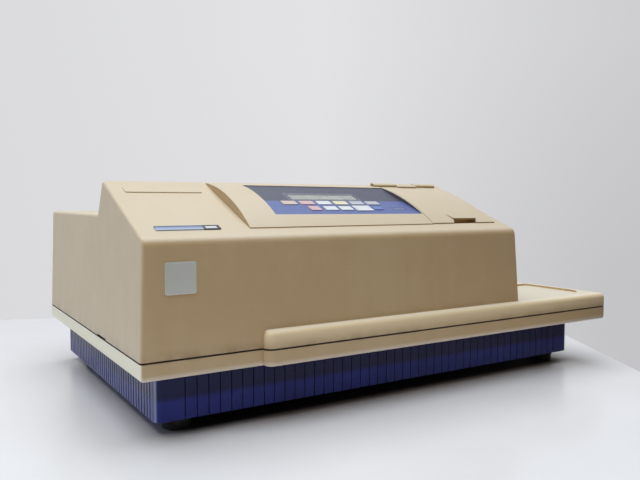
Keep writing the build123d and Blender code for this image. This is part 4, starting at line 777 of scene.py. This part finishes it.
# %% Key caps
KEY_HEIGHT = 0.0005
KEY_STEM = 0.0052
KEY_CORNER = 0.0011
KEY_ROUND = 0.0004
KEY_RIM = 0.0005
KEY_SKIRT = 0.0010
UPPER_ROW = 0.0681
LOWER_ROW = 0.0536
KEYS = [(-0.1195 + i * 0.0205, UPPER_ROW, 0.0166, 0.0094) for i in range(6)]
KEYS += [
    (x, LOWER_ROW, width, length)
    for x, width, length in (
        (-0.0975, 0.0124, 0.0110), (-0.0785, 0.0150, 0.0102), (-0.0600, 0.0150, 0.0102),
        (-0.0385, 0.0210, 0.0136), (-0.0195, 0.0115, 0.0078),
    )
]


def key_cap(number, width, length):
    """A cap with rounded corners, a dished top and a stem under it."""
    cap = start("cap_%d" % number, "cube", size=1.0, scale=(width, length, KEY_HEIGHT * 1.6))
    edit()
    pick("EDGE", lambda middle, direction: abs(direction.z) > 0.9)
    bpy.ops.mesh.bevel(offset=KEY_CORNER, segments=5)
    pick("FACE", lambda middle, normal: normal.z > 0.9)
    bpy.ops.mesh.inset(thickness=KEY_ROUND)
    bpy.ops.transform.translate(value=(0, 0, KEY_HEIGHT * 0.55))
    bpy.ops.mesh.inset(thickness=KEY_RIM)
    bpy.ops.transform.translate(value=(0, 0, -KEY_HEIGHT * 0.2))
    pick("FACE", lambda middle, normal: normal.z < -0.9)
    bpy.ops.mesh.inset(thickness=KEY_SKIRT)
    bpy.ops.mesh.extrude_region_move(TRANSFORM_OT_translate={"value": (0, 0, -KEY_STEM)})
    leave()
    return cap


for number, (x, s, width, length) in enumerate(KEYS, start=1):
    node = "key_%d" % number
    cap = key_cap(number, width, length)
    place = Matrix.Translation((x - KEYPAD_MIDDLE[0], s - KEYPAD_MIDDLE[1], KEY_HEIGHT * 0.2))
    seat(cap, KEYPAD @ place, node, slots[node], node, angle=20.0)
print("key caps:", len(KEYS))

# %% [markdown]
# Each foot is turned: half of its section is drawn, and a spin makes it round. It has a rim that
# bulges under the load, a groove above it, and a dimple where its screw goes.

# %% Rubber feet
FOOT_SECTION = [
    (0.0, 0.0020), (0.0046, 0.0020), (0.0050, 0.0004), (0.0056, 0.0), (0.0114, 0.0), (0.0122, 0.0006),
    (0.0127, 0.0020), (0.0129, 0.0048), (0.0126, 0.0056), (0.0127, 0.0064), (0.0134, 0.0072), (0.0142, 0.0112),
    (0.0140, 0.0120), (0.0, 0.0120),
]
FOOT_PLACES = [(x, y) for x in (-0.243, 0.243) for y in (-0.1313, 0.150)]


def turned(name, section, steps):
    """Spin a section, given as radius and height, once round Z."""
    alone()
    mesh = bpy.data.meshes.new(name)
    points = [(radius, 0.0, height) for radius, height in section]
    mesh.from_pydata(points, [(i, i + 1) for i in range(len(points) - 1)], [])
    piece = bpy.data.objects.new(name, mesh)
    bpy.context.scene.collection.objects.link(piece)
    piece.select_set(True)
    bpy.context.view_layer.objects.active = piece
    edit()
    bpy.ops.mesh.select_all(action="SELECT")
    bpy.ops.mesh.spin(steps=steps, angle=2 * math.pi, center=(0, 0, 0), axis=(0, 0, 1))
    bpy.ops.mesh.select_all(action="SELECT")
    bpy.ops.mesh.remove_doubles(threshold=1e-6)
    bpy.ops.mesh.normals_make_consistent(inside=False)
    leave()
    return piece


def joined(name, pieces):
    """Make one object of several."""
    alone()
    for piece in pieces:
        piece.select_set(True)
    bpy.context.view_layer.objects.active = pieces[0]
    bpy.ops.object.join()
    pieces[0].name = name
    return pieces[0]


def twins(piece, changes):
    """Copies of a piece, each moved by its own matrix. The first piece is deleted."""
    made = []
    for change in changes:
        twin = piece.copy()
        twin.data = piece.data.copy()
        twin.data.transform(change)
        bpy.context.scene.collection.objects.link(twin)
        made.append(twin)
    bpy.data.objects.remove(piece)
    return made


def copies(piece, places):
    """Join copies of a piece at several places into one."""
    name = piece.name
    return joined(name, twins(piece, [Matrix.Translation(place) for place in places]))


foot = turned("rubber_feet", FOOT_SECTION, 48)
feet = copies(foot, [(x, y, 0.0) for x, y in FOOT_PLACES])
seat(feet, Matrix.Identity(4), "root", "rubber", "feet")
print("feet:", len(feet.data.polygons), "faces")

# %% [markdown]
# The badge and the square plate are flat blocks with round corners and a raised rim, as a cast resin plate
# has. Both are bare. The square one leans back with the front wall; the badge lies on the slope.

# %% Bare plates
def bare_plate(name, width, length, thickness, corner, rim):
    """A plate made flat round the origin: its rim is rounded and its field lies a little lower."""
    piece = start(name, "cube", size=1.0, scale=(width, length, thickness))
    edit()
    pick("EDGE", lambda middle, direction: abs(direction.z) > 0.9)
    bpy.ops.mesh.bevel(offset=corner, segments=6)
    pick("FACE", lambda middle, normal: normal.z > 0.9)
    bpy.ops.mesh.inset(thickness=rim * 0.5)
    bpy.ops.transform.translate(value=(0, 0, thickness * 0.25))
    bpy.ops.mesh.inset(thickness=rim * 0.6)
    bpy.ops.mesh.inset(thickness=rim * 0.3)
    bpy.ops.transform.translate(value=(0, 0, -thickness * 0.2))
    leave()
    return piece


FRONT_DRAFT = math.radians(1.1)
PLATE_THICKNESS = 0.0008
SQUARE_MIDDLE = Vector((-0.2557, -0.18043, 0.13881))
SQUARE_SIDE = 0.0266
BADGE_MIDDLE = Vector((-0.241, 0.022, 0.0004))
BADGE_WIDTH, BADGE_LENGTH = 0.058, 0.008

square = bare_plate("square_plate", SQUARE_SIDE, SQUARE_SIDE, PLATE_THICKNESS, corner=0.0018, rim=0.0011)
lean = Matrix.Translation(SQUARE_MIDDLE) @ Matrix.Rotation(math.pi / 2 - FRONT_DRAFT, 4, "X")
seat(square, lean, "root", "silver_film", "silver_plate", angle=12.0)
strip = bare_plate("badge_plate", BADGE_WIDTH, BADGE_LENGTH, PLATE_THICKNESS, corner=0.0008, rim=0.0005)
on_slope = SLOPE @ Matrix.Translation(BADGE_MIDDLE)
seat(strip, on_slope, "root", "badge_blue", "badge_strip", angle=12.0)
print("plates:", len(square.data.polygons), "and", len(strip.data.polygons), "faces")

# %% [markdown]
# The cover is held by pan-head screws whose heads show under the pan. A head is turned, then a cross is cut
# into it with a Boolean, which is how a driver's recess is milled.

# %% Screws under the pan
SCREW_SECTION = [
    (0.0, 0.0), (0.0026, 0.0001), (0.0036, 0.0007), (0.0040, 0.0016), (0.0040, 0.0023), (0.0020, 0.0023),
    (0.0020, 0.0190), (0.0012, 0.0198), (0.0, 0.0198),
]
SCREW_PLACES = [(x, y) for x in (-0.2765, -0.150, 0.2765) for y in (-0.1695, 0.178)]
SCREW_BASE = 0.0569
RECESS = (0.0044, 0.0009, 0.0026)


def cut(piece, tool):
    """Take a tool away from a piece, and delete the tool."""
    alone()
    piece.select_set(True)
    bpy.context.view_layer.objects.active = piece
    bpy.ops.object.modifier_add(type="BOOLEAN")
    modifier = piece.modifiers[-1]
    modifier.operation = "DIFFERENCE"
    modifier.object = tool
    modifier.solver = "EXACT"
    bpy.ops.object.modifier_apply(modifier=modifier.name)
    bpy.data.objects.remove(tool)


screw = turned("pan_screw", SCREW_SECTION, 28)
for turn_by in (0.0, math.pi / 2):
    blade = start("driver", "cube", size=1.0, scale=RECESS, rotation=(0, 0, turn_by))
    cut(screw, blade)
screws = copies(screw, [(x, y, SCREW_BASE) for x, y in SCREW_PLACES])
seat(screws, Matrix.Identity(4), "root", "steel", "cover_screws", angle=30.0)
print("screws:", len(SCREW_PLACES), "with", len(screws.data.polygons), "faces")

# %% [markdown]
# A fan blade is a narrow section that turns as it goes outwards: the root face of a small block is pushed out
# in steps, and each step is turned a little about the blade's own length.

# %% Fan rotor
FAN_MIDDLE = Vector((0.070, 0.1702, 0.1358))
FAN_HUB, FAN_TIP, FAN_DEPTH, FAN_BLADES = 0.0150, 0.0364, 0.0078, 7
BLADE_LEAN, BLADE_TWIST = math.radians(50), math.radians(-4)
HUB_SECTION = [
    (0.0, -FAN_DEPTH), (0.0138, -FAN_DEPTH), (0.0148, -0.0070), (FAN_HUB, -0.0060), (FAN_HUB, 0.0064),
    (0.0144, 0.0074), (0.0132, FAN_DEPTH), (0.0060, FAN_DEPTH), (0.0054, 0.0074), (0.0, 0.0074),
]


def fan_blade():
    """A thin twisted blade that starts inside the hub and runs along +X."""
    steps = 6
    reach = (FAN_TIP - FAN_HUB + 0.002) / steps
    root = (FAN_HUB - 0.0025, 0, 0)
    blade = start("fan_blade", "cube", size=1.0, scale=(0.001, 0.0012, 0.0150), location=root)
    edit()
    bpy.ops.mesh.select_all(action="SELECT")
    bpy.ops.transform.rotate(value=BLADE_LEAN, orient_axis="X", center_override=(FAN_HUB, 0, 0))
    pick("FACE", lambda middle, normal: normal.x > 0.9)
    for _ in range(steps):
        bpy.ops.mesh.extrude_region_move(TRANSFORM_OT_translate={"value": (reach, 0, 0)})
        bpy.ops.transform.rotate(value=BLADE_TWIST, orient_axis="X", center_override=(FAN_HUB, 0, 0))
    leave()
    return blade


hub = turned("rotor", HUB_SECTION, 56)
blades = twins(fan_blade(), [Matrix.Rotation(i * 2 * math.pi / FAN_BLADES, 4, "Z") for i in range(FAN_BLADES)])
rotor = joined("rotor", [hub, *blades])
backwards = Matrix.Translation(FAN_MIDDLE) @ Matrix.Rotation(-math.pi / 2, 4, "X")
seat(rotor, backwards, "fan_rotor", "black_plastic", "fan_rotor")
print("fan rotor:", len(rotor.data.polygons), "faces")

# %% [markdown]
# The two data sockets on the back have a flange, a shell with one side longer than the other, nine pins inside
# it, and a hexagonal stud on each side that a plug is screwed to. They are made flat and then stood upright.

# %% Data sockets
FLANGE = (0.022, 0.013, 0.0012)
SHELL = (0.0168, 0.0086, 0.016)
PIN_PITCH = 0.0027
PIN_ROWS = ((5, -0.0014), (4, 0.0014))
STUD_X = 0.0097
SOCKET_X = (-0.158, -0.126)
BACK_Y, SOCKET_Z = 0.184, 0.120


def data_socket():
    """One socket, lying on its back round the origin."""
    flange = start("flange", "cube", size=1.0, scale=FLANGE, location=(0, 0, FLANGE[2] / 2))
    edit()
    pick("EDGE", lambda middle, direction: abs(direction.z) > 0.9)
    bpy.ops.mesh.bevel(offset=0.0014, segments=4)
    leave()
    shell = start("shell", "cube", size=1.0, scale=SHELL, location=(0, 0, -0.004))
    edit()
    pick("FACE", lambda middle, normal: normal.y > 0.9)
    bpy.ops.transform.resize(value=(0.86, 1.0, 1.0))
    pick("EDGE", lambda middle, direction: abs(direction.z) > 0.9)
    bpy.ops.mesh.bevel(offset=0.0016, segments=4)
    pick("FACE", lambda middle, normal: middle.z > 0.0039)
    bpy.ops.mesh.inset(thickness=0.0006)
    bpy.ops.mesh.extrude_region_move(TRANSFORM_OT_translate={"value": (0, 0, -0.0034)})
    leave()
    pieces = [flange, shell]
    for count, y in PIN_ROWS:
        for i in range(count):
            x = (i - (count - 1) / 2) * PIN_PITCH
            pin = start("pin", "cylinder", vertices=12, radius=0.0005, depth=0.0028, location=(x, y, 0.0019))
            edit()
            pick("EDGE", lambda middle, direction: middle.z > 0.0032 and abs(direction.z) < 0.1)
            bpy.ops.mesh.bevel(offset=0.0002, segments=2)
            leave()
            pieces.append(pin)
    for side in (-1, 1):
        place = (side * STUD_X, 0, 0.0024)
        stud = start("stud", "cylinder", vertices=6, radius=0.0013, depth=0.0026, location=place)
        edit()
        pick("FACE", lambda middle, normal: normal.z > 0.9)
        bpy.ops.mesh.inset(thickness=0.0005)
        bpy.ops.mesh.extrude_region_move(TRANSFORM_OT_translate={"value": (0, 0, -0.0018)})
        leave()
        pieces.append(stud)
    return joined("data_sockets", pieces)


sockets = copies(data_socket(), [(x, 0.0, 0.0) for x in SOCKET_X])
outwards = Matrix.Translation((0.0, BACK_Y, SOCKET_Z)) @ Matrix.Rotation(-math.pi / 2, 4, "X")
seat(sockets, outwards, "root", "zinc_plate", "data_ports", angle=30.0)
print("data sockets:", len(sockets.data.polygons), "faces")
